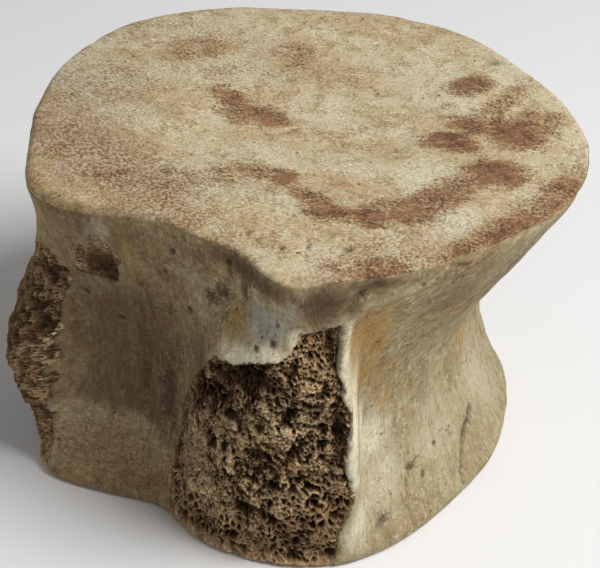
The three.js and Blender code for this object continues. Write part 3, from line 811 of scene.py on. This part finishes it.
def math_node(tree, operation, *values, clamp=False):
    n = tree.nodes.new("ShaderNodeMath")
    n.operation, n.use_clamp = operation, clamp
    for socket, value in zip(n.inputs, values):
        feed(tree, socket, value)
    return n.outputs[0]


def times(tree, *values):
    out = values[0]
    for value in values[1:]:
        out = math_node(tree, "MULTIPLY", out, value)
    return out


def plus(tree, *values):
    out = values[0]
    for value in values[1:]:
        out = math_node(tree, "ADD", out, value)
    return out


def scaled(tree, value, factor, shift, clamp=False):
    return math_node(tree, "MULTIPLY_ADD", value, factor, shift, clamp=clamp)


def vector_node(tree, operation, a, b=None, scale=None):
    n = tree.nodes.new("ShaderNodeVectorMath")
    n.operation = operation
    feed(tree, n.inputs[0], a)
    feed(tree, n.inputs[1], b)
    if scale is not None:
        feed(tree, n.inputs["Scale"], scale)
    return n.outputs[0]


def ramp_node(tree, value, low, high, to_low=0.0, to_high=1.0):
    n = tree.nodes.new("ShaderNodeMapRange")
    n.interpolation_type = "SMOOTHSTEP"
    ends = {"From Min": low, "From Max": high, "To Min": to_low, "To Max": to_high}
    for key, end in ends.items():
        n.inputs[key].default_value = end
    feed(tree, n.inputs["Value"], value)
    return n.outputs["Result"]


def noise(tree, vector, scale, detail=3.0, roughness=0.55, distortion=0.0):
    n = tree.nodes.new("ShaderNodeTexNoise")
    n.inputs["Scale"].default_value = scale
    n.inputs["Detail"].default_value = detail
    n.inputs["Roughness"].default_value = roughness
    n.inputs["Distortion"].default_value = distortion
    feed(tree, n.inputs["Vector"], vector)
    return n


def noise_node(tree, vector, *settings):
    return noise(tree, vector, *settings).outputs[0]


def cells_node(tree, vector, scale, feature):
    n = tree.nodes.new("ShaderNodeTexVoronoi")
    n.feature = feature
    feed(tree, n.inputs["Scale"], scale)
    feed(tree, n.inputs["Vector"], vector)
    return n


def first_channel(tree, vector):
    n = tree.nodes.new("ShaderNodeSeparateXYZ")
    feed(tree, n.inputs[0], vector)
    return n.outputs[0]


# Spongy bone: a Geometry Nodes tree opens pores in a plain broken surface.
def stored(tree, name, kind="FLOAT"):
    n = tree.nodes.new("GeometryNodeInputNamedAttribute")
    n.data_type = kind
    n.inputs["Name"].default_value = name
    return n.outputs["Attribute"]


def pores_of(tree, place, size, thin, wide):
    """Depth share of pores of one size: thin walls between cells, each with its own depth."""
    fineness = math_node(tree, "DIVIDE", 1.0, size)
    walls = cells_node(tree, place, fineness, "DISTANCE_TO_EDGE").outputs["Distance"]
    pick = first_channel(tree, cells_node(tree, place, fineness, "F1").outputs["Color"])
    own_depth = ramp_node(tree, pick, 0.0, 0.8, 0.20, 1.0)
    return times(tree, ramp_node(tree, walls, thin, wide), own_depth)


def bent_place(tree, at):
    """The place, drawn out of true so that the cells of the pores aren't straight."""
    bend = noise(tree, at, 0.5, 2.0, 0.5).outputs["Color"]
    bend = vector_node(tree, "SUBTRACT", bend, (0.5, 0.5, 0.5))
    return vector_node(tree, "ADD", at, vector_node(tree, "SCALE", bend, scale=1.4))


def hollow_depth(tree, sizes, at):
    """Depth in mm of the pores, the broken-down walls and the larger cavities."""
    bent = bent_place(tree, at)
    tall = vector_node(tree, "MULTIPLY", bent, (1.0, 1.0, 0.70))
    fine = pores_of(tree, bent, sizes["Fine Pores"], 0.04, 0.22)
    coarse = pores_of(tree, tall, sizes["Coarse Pores"], 0.07, 0.20)
    pores = tree.nodes.new("ShaderNodeMix")
    feed(tree, pores.inputs[0], stored(tree, "coarse"))
    feed(tree, pores.inputs[2], times(tree, fine, 0.75))
    feed(tree, pores.inputs[3], coarse)
    finest = math_node(tree, "DIVIDE", 2.2, sizes["Fine Pores"])
    tiny = cells_node(tree, bent, finest, "DISTANCE_TO_EDGE").outputs["Distance"]
    tiny = times(tree, ramp_node(tree, tiny, 0.05, 0.3), 0.12)
    broken = times(tree, ramp_node(tree, noise_node(tree, at, 0.5, 3.0), 0.42, 0.66),
                   scaled(tree, stored(tree, "coarse"), -0.26, 0.38))
    shallow = times(tree, plus(tree, pores.outputs[0], tiny, broken), sizes["Pore Depth"])
    wide = math_node(tree, "DIVIDE", 1.0, sizes["Cavity Size"])
    caves = cells_node(tree, bent, wide, "DISTANCE_TO_EDGE").outputs["Distance"]
    caves = times(tree, ramp_node(tree, caves, 0.06, 0.34),
                  ramp_node(tree, noise_node(tree, at, 0.17, 2.0), 0.50, 0.60),
                  sizes["Cavity Depth"])
    return times(tree, plus(tree, shallow, caves), stored(tree, "opened"))


def spongy_tree(material):
    tree = bpy.data.node_groups.new("Spongy bone", "GeometryNodeTree")
    face = tree.interface
    face.new_socket("Geometry", in_out="INPUT", socket_type="NodeSocketGeometry")
    face.new_socket("Geometry", in_out="OUTPUT", socket_type="NodeSocketGeometry")
    sizes = {"Fine Pores": 0.8, "Coarse Pores": 1.2, "Pore Depth": 2.2, "Cavity Size": 3.0,
             "Cavity Depth": 1.6, "Seed": 3.0}
    for name, value in sizes.items():
        socket = face.new_socket(name, in_out="INPUT", socket_type="NodeSocketFloat")
        socket.default_value = value
    start, end = tree.nodes.new("NodeGroupInput"), tree.nodes.new("NodeGroupOutput")
    position = tree.nodes.new("GeometryNodeInputPosition").outputs[0]
    shift = tree.nodes.new("ShaderNodeCombineXYZ")
    for socket in shift.inputs:
        feed(tree, socket, times(tree, start.outputs["Seed"], 17.3))
    in_mm = vector_node(tree, "SCALE", position, scale=1 / MM)
    depth = hollow_depth(tree, start.outputs, vector_node(tree, "ADD", in_mm, shift.outputs[0]))

    # the share of depth kept as hollow, which the material turns into painted shade in the pores
    keep = tree.nodes.new("GeometryNodeStoreNamedAttribute")
    keep.data_type, keep.domain = "FLOAT", "POINT"
    keep.inputs["Name"].default_value = "hollow"
    hollow = plus(tree, math_node(tree, "DIVIDE", depth, 2.8), times(tree, stored(tree, "dip"), 0.10))
    feed(tree, keep.inputs["Value"], hollow)
    move = tree.nodes.new("GeometryNodeSetPosition")
    inwards = vector_node(tree, "SCALE", stored(tree, "out", "FLOAT_VECTOR"),
                          scale=times(tree, depth, -MM))
    feed(tree, move.inputs["Offset"], inwards)
    real = tree.nodes.new("GeometryNodeRealizeInstances")
    paint = tree.nodes.new("GeometryNodeSetMaterial")
    paint.inputs["Material"].default_value = material
    chain = [start, keep, move, real, paint, end]
    for one, following in zip(chain, chain[1:]):
        feed(tree, following.inputs["Geometry"], one.outputs["Geometry"])
    return tree


def through_nodes(piece, tree, values):
    """Runs a piece through a node tree and gives back the plain mesh result."""
    mod = piece.modifiers.new("nodes", "NODES")
    mod.node_group = tree
    for item in tree.interface.items_tree:
        if item.in_out == "INPUT" and item.name in values:
            mod[item.identifier] = float(values[item.name])
    graph = bpy.context.evaluated_depsgraph_get()
    made = bpy.data.meshes.new_from_object(piece.evaluated_get(graph),
                                           preserve_all_data_layers=True, depsgraph=graph)
    piece.modifiers.remove(mod)
    old = piece.data
    piece.data = made
    bpy.data.meshes.remove(old)
    made.name = piece.name
    made.polygons.foreach_set("use_smooth", np.ones(len(made.polygons), bool))


# Materials.
SHADE_TINT = (0.95, 0.84, 0.74)   # tint of the sound bone where it is shaded
GRAIN_LIGHT = (1.22, 1.22, 1.20)  # tint of the bone between its fine grains
WALL_DIM = (0.62, 0.57, 0.50)     # painted glints: tints of the spongy walls, dim or lit from place to place
WALL_LIT = (1.35, 1.33, 1.30)


def new_material(name):
    material = bpy.data.materials.new(name)
    material.use_nodes = True
    tree = material.node_tree
    tree.nodes.clear()
    shader = tree.nodes.new("ShaderNodeBsdfPrincipled")
    end = tree.nodes.new("ShaderNodeOutputMaterial")
    feed(tree, end.inputs[0], shader.outputs[0])
    return material, tree, shader


def place_in_mm(tree):
    place = tree.nodes.new("ShaderNodeTexCoord").outputs["Object"]
    return vector_node(tree, "SCALE", place, scale=1 / MM)


def mark(tree, name, output="Fac"):
    n = tree.nodes.new("ShaderNodeAttribute")
    n.attribute_name = name
    return n.outputs[output]


def blend_colour(tree, factor, a, b, kind="MIX"):
    n = tree.nodes.new("ShaderNodeMix")
    n.data_type, n.blend_type = "RGBA", kind
    feed(tree, n.inputs[0], factor)
    for socket, value in ((n.inputs[6], a), (n.inputs[7], b)):
        feed(tree, socket, value if hasattr(value, "is_linked") else (*value[:3], 1.0))
    return n.outputs[2]


def tinted(tree, factor, colour, tint):
    """The colour multiplied by a tint, as far as the factor says."""
    return blend_colour(tree, factor, colour, tint, "MULTIPLY")


def worn(tree, amount, unevenness, spread, low, high):
    """An amount broken up by a noise, so that its edges are mottled instead of soft."""
    n = plus(tree, amount, scaled(tree, unevenness, spread, -spread / 2))
    return times(tree, ramp_node(tree, n, low, high), ramp_node(tree, amount, 0.02, 0.25))


def roughen(tree, shader, height, distance):
    bump = tree.nodes.new("ShaderNodeBump")
    bump.inputs["Strength"].default_value = 0.6
    bump.inputs["Distance"].default_value = distance
    feed(tree, bump.inputs["Height"], height)
    feed(tree, shader.inputs["Normal"], bump.outputs[0])


def cortex_noises(tree):
    """Noises of the sound bone, broad to fine, and those brushed across it and up its side."""
    place = place_in_mm(tree)
    turned = tree.nodes.new("ShaderNodeVectorRotate")
    turned.rotation_type = "Z_AXIS"
    turned.inputs["Angle"].default_value = math.radians(-32)
    feed(tree, turned.inputs["Vector"], place)
    brushed = vector_node(tree, "MULTIPLY", turned.outputs[0], (0.22, 0.75, 0.6))
    lie = mark(tree, "lie", "Vector")
    upwards = vector_node(tree, "MULTIPLY", lie, (1.0, 1.0, 0.25))
    short = vector_node(tree, "MULTIPLY", lie, (1.7, 1.7, 0.6))
    moved = vector_node(tree, "ADD", place, (31.0, 7.0, 3.0))
    return SimpleNamespace(
        place=place,
        broad=noise_node(tree, place, 0.085, 4.0, 0.6),
        mottle=noise_node(tree, place, 0.30, 5.0, 0.65, 0.3),
        patch=noise_node(tree, place, 0.8, 4.0, 0.7),
        speck=noise_node(tree, place, 1.9, 4.0, 0.75),
        fleck=noise_node(tree, moved, 1.5, 4.0, 0.75),
        brushed=noise_node(tree, brushed, 1.0, 6.0, 0.70, 0.4),
        streak=noise_node(tree, upwards, 0.8, 5.0, 0.62, 0.8),
        dash=noise_node(tree, short, 1.0, 3.0, 0.6),
    )


def bone_ground(tree, c, n):
    """Mottled ground of the sound bone, with chalky and olive patches on its lit sides."""
    colour = blend_colour(tree, ramp_node(tree, n.broad, 0.40, 0.60), c.cream, c.straw)
    tan = times(tree, ramp_node(tree, n.mottle, 0.48, 0.66), 0.55)
    colour = blend_colour(tree, tan, colour, c.tan)
    chalk = times(tree, ramp_node(tree, n.brushed, 0.47, 0.36), 0.6)
    colour = blend_colour(tree, chalk, colour, c.chalk)
    side = mark(tree, "side")
    colour = tinted(tree, side, colour, c.side_tint)
    lit = times(tree, side, scaled(tree, mark(tree, "shade"), -0.9, 1.0, clamp=True))
    chalk = times(tree, ramp_node(tree, n.patch, 0.50, 0.34), lit, 0.45)
    colour = blend_colour(tree, chalk, colour, c.chalk)
    olive = times(tree, ramp_node(tree, n.patch, 0.52, 0.66), lit, 0.60)
    return blend_colour(tree, olive, colour, c.olive)


def bone_washes(tree, c, n, colour):
    """Washes of colour over the sound bone, dark to pale and then warm: the dark wash is partly painted
    shade, and the palest one partly painted highlight.
    """
    uneven = scaled(tree, n.patch, 0.55, times(tree, n.speck, 0.45))
    drawn = scaled(tree, n.patch, 0.5, times(tree, n.streak, 0.5))
    shade = mark(tree, "shade")
    # painted shade, partly the bone's own grey-brown, laid over the shade marks
    dim = blend_colour(tree, ramp_node(tree, n.patch, 0.38, 0.62), c.shade, c.shade_warm)
    colour = tinted(tree, shade, colour, SHADE_TINT)
    shade = times(tree, worn(tree, shade, drawn, 1.3, 0.05, 1.0), 0.9)
    colour = blend_colour(tree, shade, colour, dim)
    ash = times(tree, worn(tree, mark(tree, "ash"), uneven, 1.6, 0.12, 0.92), 0.85)
    colour = blend_colour(tree, ash, colour, c.ash)
    pale = mark(tree, "pale")
    colour = blend_colour(tree, worn(tree, pale, uneven, 2.2, 0.12, 1.0), colour, c.chalk)
    # painted highlight: where the pale mark goes past 1, on the ledge and the lip, the palest colour is
    # laid on
    palest = worn(tree, math_node(tree, "SUBTRACT", pale, 1.0), n.speck, 3.0, 0.3, 1.0)
    colour = blend_colour(tree, palest, colour, c.palest)
    warm = worn(tree, mark(tree, "warm"), uneven, 1.6, 0.10, 0.95)
    colour = blend_colour(tree, warm, colour, c.ochre)
    rose = times(tree, mark(tree, "rose"), ramp_node(tree, n.speck, 0.40, 0.62, 0.25, 1.0))
    colour = blend_colour(tree, rose, colour, c.rose)
    dark = times(tree, worn(tree, mark(tree, "dark"), uneven, 2.6, 0.20, 0.85), 0.85)
    return blend_colour(tree, dark, colour, c.umber)


def iron_marks(tree, c, n, colour):
    """Brown iron marks: a haze, and over it grains brushed one way that thin out at the edges."""
    stain = mark(tree, "stain")
    haze = times(tree, ramp_node(tree, stain, 0.05, 0.85), 0.75)
    colour = tinted(tree, haze, colour, c.haze)
    close = plus(tree, stain, scaled(tree, n.brushed, 1.7, -0.95), scaled(tree, n.speck, 2.6, -1.30))
    close = times(tree, ramp_node(tree, close, 0.0, 0.98), ramp_node(tree, stain, 0.02, 0.35), 0.92)
    iron = blend_colour(tree, ramp_node(tree, n.mottle, 0.42, 0.60), c.rust, c.deep_rust)
    return blend_colour(tree, close, colour, iron)


def bone_grains(tree, c, n, colour):
    """Streaks along the side, and fine grains and flecks over everything."""
    streaky = mark(tree, "streaks")
    streaks = times(tree, ramp_node(tree, n.streak, 0.46, 0.68), streaky, 0.75)
    colour = tinted(tree, streaks, colour, c.streak_tint)
    dashes = times(tree, ramp_node(tree, n.dash, 0.60, 0.72), streaky, 0.8)
    colour = tinted(tree, dashes, colour, c.fleck_tint)
    fine = blend_colour(tree, ramp_node(tree, n.speck, 0.38, 0.62), GRAIN_LIGHT, c.grain_tint)
    finer = times(tree, ramp_node(tree, n.mottle, 0.40, 0.60, 0.45, 1.0),
                  scaled(tree, mark(tree, "side"), -0.4, 1.0))
    colour = tinted(tree, finer, colour, fine)
    flecks = times(tree, ramp_node(tree, n.fleck, 0.56, 0.68),
                   ramp_node(tree, n.patch, 0.40, 0.56, 0.3, 1.0))
    return tinted(tree, flecks, colour, c.fleck_tint)


def small_holes(tree, n):
    """Pinholes scattered over the sound bone, with the cracks and pits that it is marked with: the mask
    that paints them dark as painted shade and sinks them in the bump.
    """
    holes = cells_node(tree, n.place, 0.50, "F1")
    rare = first_channel(tree, holes.outputs["Color"])
    hole = times(tree, ramp_node(tree, holes.outputs["Distance"], 0.19, 0.08),
                 ramp_node(tree, rare, 0.74, 0.80), 0.7)
    return math_node(tree, "MAXIMUM", hole, mark(tree, "crack"))


def cortex_material(c):
    material, tree, shader = new_material("fossil bone surface")
    n = cortex_noises(tree)
    colour = bone_ground(tree, c, n)
    for layer in (bone_washes, iron_marks, bone_grains):
        colour = layer(tree, c, n, colour)
    hole = small_holes(tree, n)
    # painted shade: pinholes, cracks, pits and the vessels' openings take the near-black hole colour
    colour = blend_colour(tree, times(tree, hole, 0.85), colour, c.hole)
    # painted shade, partly pore colour: the sound bone under the breaks is painted as dark as the pores
    colour = blend_colour(tree, mark(tree, "raw_and_shaded"), colour, c.pore)
    feed(tree, shader.inputs["Base Color"], colour)
    feed(tree, shader.inputs["Roughness"], ramp_node(tree, n.mottle, 0.2, 0.8, 0.72, 0.92))
    shader.inputs["Specular IOR Level"].default_value = 0.3
    streaky = mark(tree, "streaks")
    height = plus(tree, times(tree, n.speck, 0.45), times(tree, n.patch, 0.6),
                  times(tree, n.mottle, 0.8), times(tree, n.dash, streaky, 0.35),
                  times(tree, n.streak, streaky, 0.6), times(tree, hole, -0.6))
    roughen(tree, shader, height, 0.0006)
    return material


def spongy_material(c):
    material, tree, shader = new_material("broken spongy bone")
    place = place_in_mm(tree)
    broad = noise_node(tree, place, 0.12, 4.0, 0.6)
    patch = noise_node(tree, place, 0.45, 4.0, 0.6)
    fine = noise_node(tree, place, 1.8, 4.0, 0.65)
    glint = noise_node(tree, place, 2.7, 3.0, 0.7)
    wall = blend_colour(tree, ramp_node(tree, fine, 0.36, 0.66), c.wall, c.wall_pale)
    rusty = times(tree, ramp_node(tree, patch, 0.52, 0.68), 0.6)
    wall = blend_colour(tree, rusty, wall, c.wall_rust)
    grey = times(tree, ramp_node(tree, broad, 0.52, 0.36), 0.4)
    wall = blend_colour(tree, grey, wall, c.wall_grey)
    dull = times(tree, mark(tree, "dull"), ramp_node(tree, fine, 0.62, 0.38, 0.4, 0.9))
    wall = blend_colour(tree, dull, wall, c.wall_grey)
    # brown walls, partly painted shade
    brown = times(tree, mark(tree, "brown"), ramp_node(tree, fine, 0.66, 0.40, 0.4, 0.95))
    wall = blend_colour(tree, brown, wall, c.wall_brown)
    # painted glints on the paler walls, where the glint noise is high
    bright = times(tree, mark(tree, "bright"), ramp_node(tree, glint, 0.38, 0.58, 0.15, 1.0))
    wall = blend_colour(tree, bright, wall, c.wall_pale)
    # painted glints all over the walls
    glints = blend_colour(tree, ramp_node(tree, glint, 0.34, 0.66), WALL_DIM, WALL_LIT)
    wall = tinted(tree, 1.0, wall, glints)
    # painted shade in the pores: the deeper a point lies, and the more painted shade is marked there, the
    # more it takes the dark pore and hole colours
    depth = plus(tree, mark(tree, "hollow"), scaled(tree, fine, 0.25, -0.125),
                 times(tree, mark(tree, "deep"), 0.24))
    colour = blend_colour(tree, ramp_node(tree, depth, 0.03, 0.40), wall, c.pore)
    colour = blend_colour(tree, ramp_node(tree, depth, 0.30, 0.75), colour, c.hole)
    feed(tree, shader.inputs["Base Color"], colour)
    shader.inputs["Roughness"].default_value = 0.88
    shader.inputs["Specular IOR Level"].default_value = 0.3
    roughen(tree, shader, fine, 0.0004)
    return material


# Settings that a user would change.
def metres(name, value, text):
    return FloatProperty(name=name, description=text, default=value * MM, unit="LENGTH", precision=5)


def number(name, value, text, **limits):
    return FloatProperty(name=name, description=text, default=value, **limits)


def colour(name, value, text):
    return FloatVectorProperty(name=name, description=text, default=value, size=3,
                               subtype="COLOR", min=0, max=1)


class VertebraSizes(PropertyGroup):
    length: metres("Length", 63.2, "Length of the bone between its two joint faces")
    upper_radius: metres("Upper Radius", 47.8, "Mean radius of the upper joint face")
    lower_radius: metres("Lower Radius", 44.9, "Mean radius of the lower joint face")
    waist_depth: metres("Waist Depth", 9.0, "How far the sides draw in between the faces")
    waist_height: number("Waist Height", 0.54, "Share of the length at which it is narrowest",
                         min=0.2, max=0.8, subtype="FACTOR")
    rim_round: metres("Rim Rounding", 1.4, "Mean rounding of the edge of each joint face")
    rim_fall: metres("Rim Fall", 0.5, "Drop of the upper face towards its edge")
    face_dish: metres("Face Dish", 1.9, "Hollow of each joint face at its middle")
    scar_lumps: metres("Scar Lumps", 1.0, "Height of the lumps of the broken surfaces")


class VertebraSponge(PropertyGroup):
    fine_pores: number("Fine Pores", 0.85, "Size of the finer pores in millimetres")
    coarse_pores: number("Coarse Pores", 1.12, "Size of the pores near the foot in millimetres")
    pore_depth: number("Pore Depth", 2.0, "Depth of the deepest pores in millimetres")
    cavity_size: number("Cavity Size", 3.0, "Size of the larger cavities in millimetres")
    cavity_depth: number("Cavity Depth", 1.6, "Depth of the larger cavities in millimetres")
    seed: IntProperty(name="Seed", description="Picks another arrangement of the pores",
                      default=3, min=0)


class VertebraColours(PropertyGroup):
    cream: colour("Cream", (0.66, 0.58, 0.40), "Main colour of the sound bone")
    straw: colour("Straw", (0.56, 0.44, 0.26), "Second colour of the sound bone")
    tan: colour("Tan", (0.40, 0.28, 0.155), "Mottling of the sound bone")
    olive: colour("Olive", (0.30, 0.265, 0.155), "Greenish mottling of the sides")
    # painted highlight as well as the palest bone, on the ledge over the right root and the lip beside it
    palest: colour("Palest", (0.95, 0.89, 0.66), "Edges worn to the palest bone")
    chalk: colour("Chalk", (0.74, 0.69, 0.51), "Palest parts of the sound bone")
    side_tint: colour("Side Tint", (0.65, 0.61, 0.51), "How much darker the sides are than the joint face")
    streak_tint: colour("Streak Tint", (0.72, 0.66, 0.58), "Streaks along the sides")
    grain_tint: colour("Grain Tint", (0.62, 0.54, 0.44), "Fine tan grains all over the bone")
    fleck_tint: colour("Fleck Tint", (0.42, 0.33, 0.25), "Sparse dark grains")
    umber: colour("Umber", (0.095, 0.056, 0.027), "Dark smudges")
    ochre: colour("Ochre", (0.48, 0.305, 0.105), "Yellow-brown hollow beside the right root")
    # painted shade, partly the bone's own grey-brown: the two colours of the shade on the groove's floor
    # and under the rim
    shade: colour("Grey Brown", (0.066, 0.043, 0.027), "Floor of the groove of the spinal cord")
    shade_warm: colour("Warm Brown", (0.128, 0.071, 0.036), "Second colour of the floor of the groove")
    ash: colour("Ash", (0.42, 0.42, 0.37), "Bluish grey places")
    rose: colour("Rose", (0.25, 0.145, 0.085), "Reddish washes")
    rust: colour("Rust", (0.27, 0.130, 0.064), "Iron marks on the joint face")
    haze: colour("Rust Haze", (0.80, 0.65, 0.50), "Tint of the iron marks' soft edges")
    deep_rust: colour("Deep Rust", (0.15, 0.070, 0.042), "Darkest iron marks")
    # painted shade: near black, inside the pits, the cracks and the deepest pores
    hole: colour("Hole", (0.024, 0.011, 0.004), "Inside of pits and cracks")
    wall: colour("Wall", (0.60, 0.37, 0.185), "Walls between the pores")
    # pale walls, also laid on as painted glints
    wall_pale: colour("Pale Wall", (0.88, 0.70, 0.43), "Palest walls between the pores")
    wall_rust: colour("Rusty Wall", (0.33, 0.16, 0.065), "Rusty walls between the pores")
    wall_brown: colour("Brown Wall", (0.205, 0.118, 0.058), "Dark brown walls between the pores")
    wall_grey: colour("Grey Wall", (0.29, 0.215, 0.130), "Dull grey walls between the pores")
    # partly the pores' own dark brown, partly painted shade in them and in the gaps under the breaks
    pore: colour("Pore", (0.105, 0.053, 0.020), "Inside of the pores")


class VertebraStage(PropertyGroup):
    key_power: number("Key Light", 5.2, "Power of the soft light from the upper right",
                      subtype="POWER", unit="POWER")
    fill_power: number("Fill Light", 0.2, "Power of the weak light from the left",
                       subtype="POWER", unit="POWER")
    sky: number("Room Light", 0.22, "Strength of the even light all round", min=0)
    floor: colour("Floor", (0.92, 0.92, 0.92), "Colour of the pale floor")


# Operators: each builds a piece or a group of like pieces, and the last one the stage.
def finish_piece(piece, material):
    piece.data.materials.clear()
    piece.data.materials.append(material)
    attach(piece, "root")
    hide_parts("vertebra")


class VERTEBRA_OT_bone(Operator):
    """Builds the sound bone: joint faces, waisted sides and groove, open at the breaks"""
    bl_idname = "vertebra.bone"
    bl_label = "Sound Bone"

    def execute(self, context):
        scene = context.scene
        points, faces, marks = make_bone_mesh(Bone(scene.vertebra_sizes))
        piece = mesh_piece("bone", points, faces, marks)
        finish_piece(piece, cortex_material(scene.vertebra_colours))
        return {"FINISHED"}


class VERTEBRA_OT_breaks(Operator):
    """Builds the broken spongy surfaces: the two roots of the arch and the lost flake"""
    bl_idname = "vertebra.breaks"
    bl_label = "Spongy Breaks"

    def execute(self, context):
        scene = context.scene
        bone, sponge = Bone(scene.vertebra_sizes), scene.vertebra_sponge
        material = spongy_material(scene.vertebra_colours)
        tree = spongy_tree(material)
        for plan in PATCHES:
            piece = mesh_piece(plan["name"], *make_patch(bone, plan))
            through_nodes(piece, tree, {
                "Fine Pores": sponge.fine_pores * plan["pore_size"],
                "Coarse Pores": sponge.coarse_pores * plan["pore_size"],
                "Pore Depth": sponge.pore_depth * plan["pore_depth"],
                "Cavity Size": sponge.cavity_size,
                "Cavity Depth": sponge.cavity_depth * plan["cavity_depth"],
                "Seed": sponge.seed,
            })
            finish_piece(piece, material)
        return {"FINISHED"}


def make_floor(shade):
    half = FLOOR_HALF
    corners = [(-half, -half, 0), (half, -half, 0), (half, half, 0), (-half, half, 0)]
    floor = mesh_piece("floor", np.array(corners), [(0, 1, 2, 3)])
    material, _, shader = new_material("pale floor")
    shader.inputs["Base Color"].default_value = (*shade, 1)
    shader.inputs["Roughness"].default_value = 0.9
    floor.data.materials.append(material)
    return floor


def towards(around, up):
    """Direction from the bone, with both angles in degrees."""
    a, e = math.radians(around), math.radians(up)
    return Vector((math.sin(a) * math.cos(e), -math.cos(a) * math.cos(e), math.sin(e)))


def set_thing(scene, name, data, way, away, roll=0.0):
    """Adds a lamp or camera that looks at the bone from a direction and a distance."""
    thing = bpy.data.objects.new(name, data)
    scene.collection.objects.link(thing)
    thing.location = LOOK_AT + way * away
    thing.rotation_mode = "QUATERNION"
    thing.rotation_quaternion = way.to_track_quat("Z", "Y") @ Quaternion((0, 0, 1), roll)
    return thing


class VERTEBRA_OT_stage(Operator):
    """Sets the pale floor, the soft lights and the camera"""
    bl_idname = "vertebra.stage"
    bl_label = "Stage"

    def execute(self, context):
        scene, s = context.scene, context.scene.vertebra_stage
        floor = make_floor(s.floor)
        scene.world = bpy.data.worlds.new("room")
        scene.world.use_nodes = True
        room = scene.world.node_tree.nodes["Background"]
        room.inputs[0].default_value = (1, 1, 1, 1)
        room.inputs[1].default_value = s.sky
        for (name, around, up, away, wide), power in zip(LAMPS, (s.key_power, s.fill_power)):
            lamp = bpy.data.lights.new(name, "AREA")
            lamp.shape, lamp.size, lamp.energy = "DISK", wide, power
            set_thing(scene, name, lamp, towards(around, up), away)
        eye = bpy.data.cameras.new("camera")
        eye.lens, eye.sensor_width, eye.sensor_fit = CAMERA["lens"], 36.0, "HORIZONTAL"
        eye.clip_start, eye.clip_end = 0.01, 20
        way = towards(CAMERA["round"], CAMERA["up"])
        roll = math.radians(CAMERA["roll"])
        scene.camera = set_thing(scene, "camera", eye, way, CAMERA["away"], roll)
        scene.view_settings.view_transform = "Standard"
        return {"FINISHED"}


class VERTEBRA_PT_sidebar(Panel):
    bl_idname = "VERTEBRA_PT_sidebar"
    bl_label = "Fossil Vertebra"
    bl_space_type = "VIEW_3D"
    bl_region_type = "UI"
    bl_category = "Vertebra"

    def draw(self, context):
        for group in GROUPS:
            box = self.layout.box()
            settings = getattr(context.scene, group)
            for key in settings.__annotations__:
                box.prop(settings, key)
        for operator in OPERATORS:
            self.layout.operator(operator.bl_idname)


GROUPS = {"vertebra_sizes": VertebraSizes, "vertebra_sponge": VertebraSponge,
          "vertebra_colours": VertebraColours, "vertebra_stage": VertebraStage}
OPERATORS = (VERTEBRA_OT_bone, VERTEBRA_OT_breaks, VERTEBRA_OT_stage)


def register():
    for cls in (*GROUPS.values(), *OPERATORS, VERTEBRA_PT_sidebar):
        bpy.utils.register_class(cls)
    for name, group in GROUPS.items():
        setattr(bpy.types.Scene, name, PointerProperty(type=group))


def unregister():
    for name in GROUPS:
        delattr(bpy.types.Scene, name)
    for cls in reversed((*GROUPS.values(), *OPERATORS, VERTEBRA_PT_sidebar)):
        bpy.utils.unregister_class(cls)


def main():
    register()
    bpy.ops.vertebra.bone()
    bpy.ops.vertebra.breaks()
    bpy.ops.vertebra.stage()


if __name__ == "__main__":
    main()
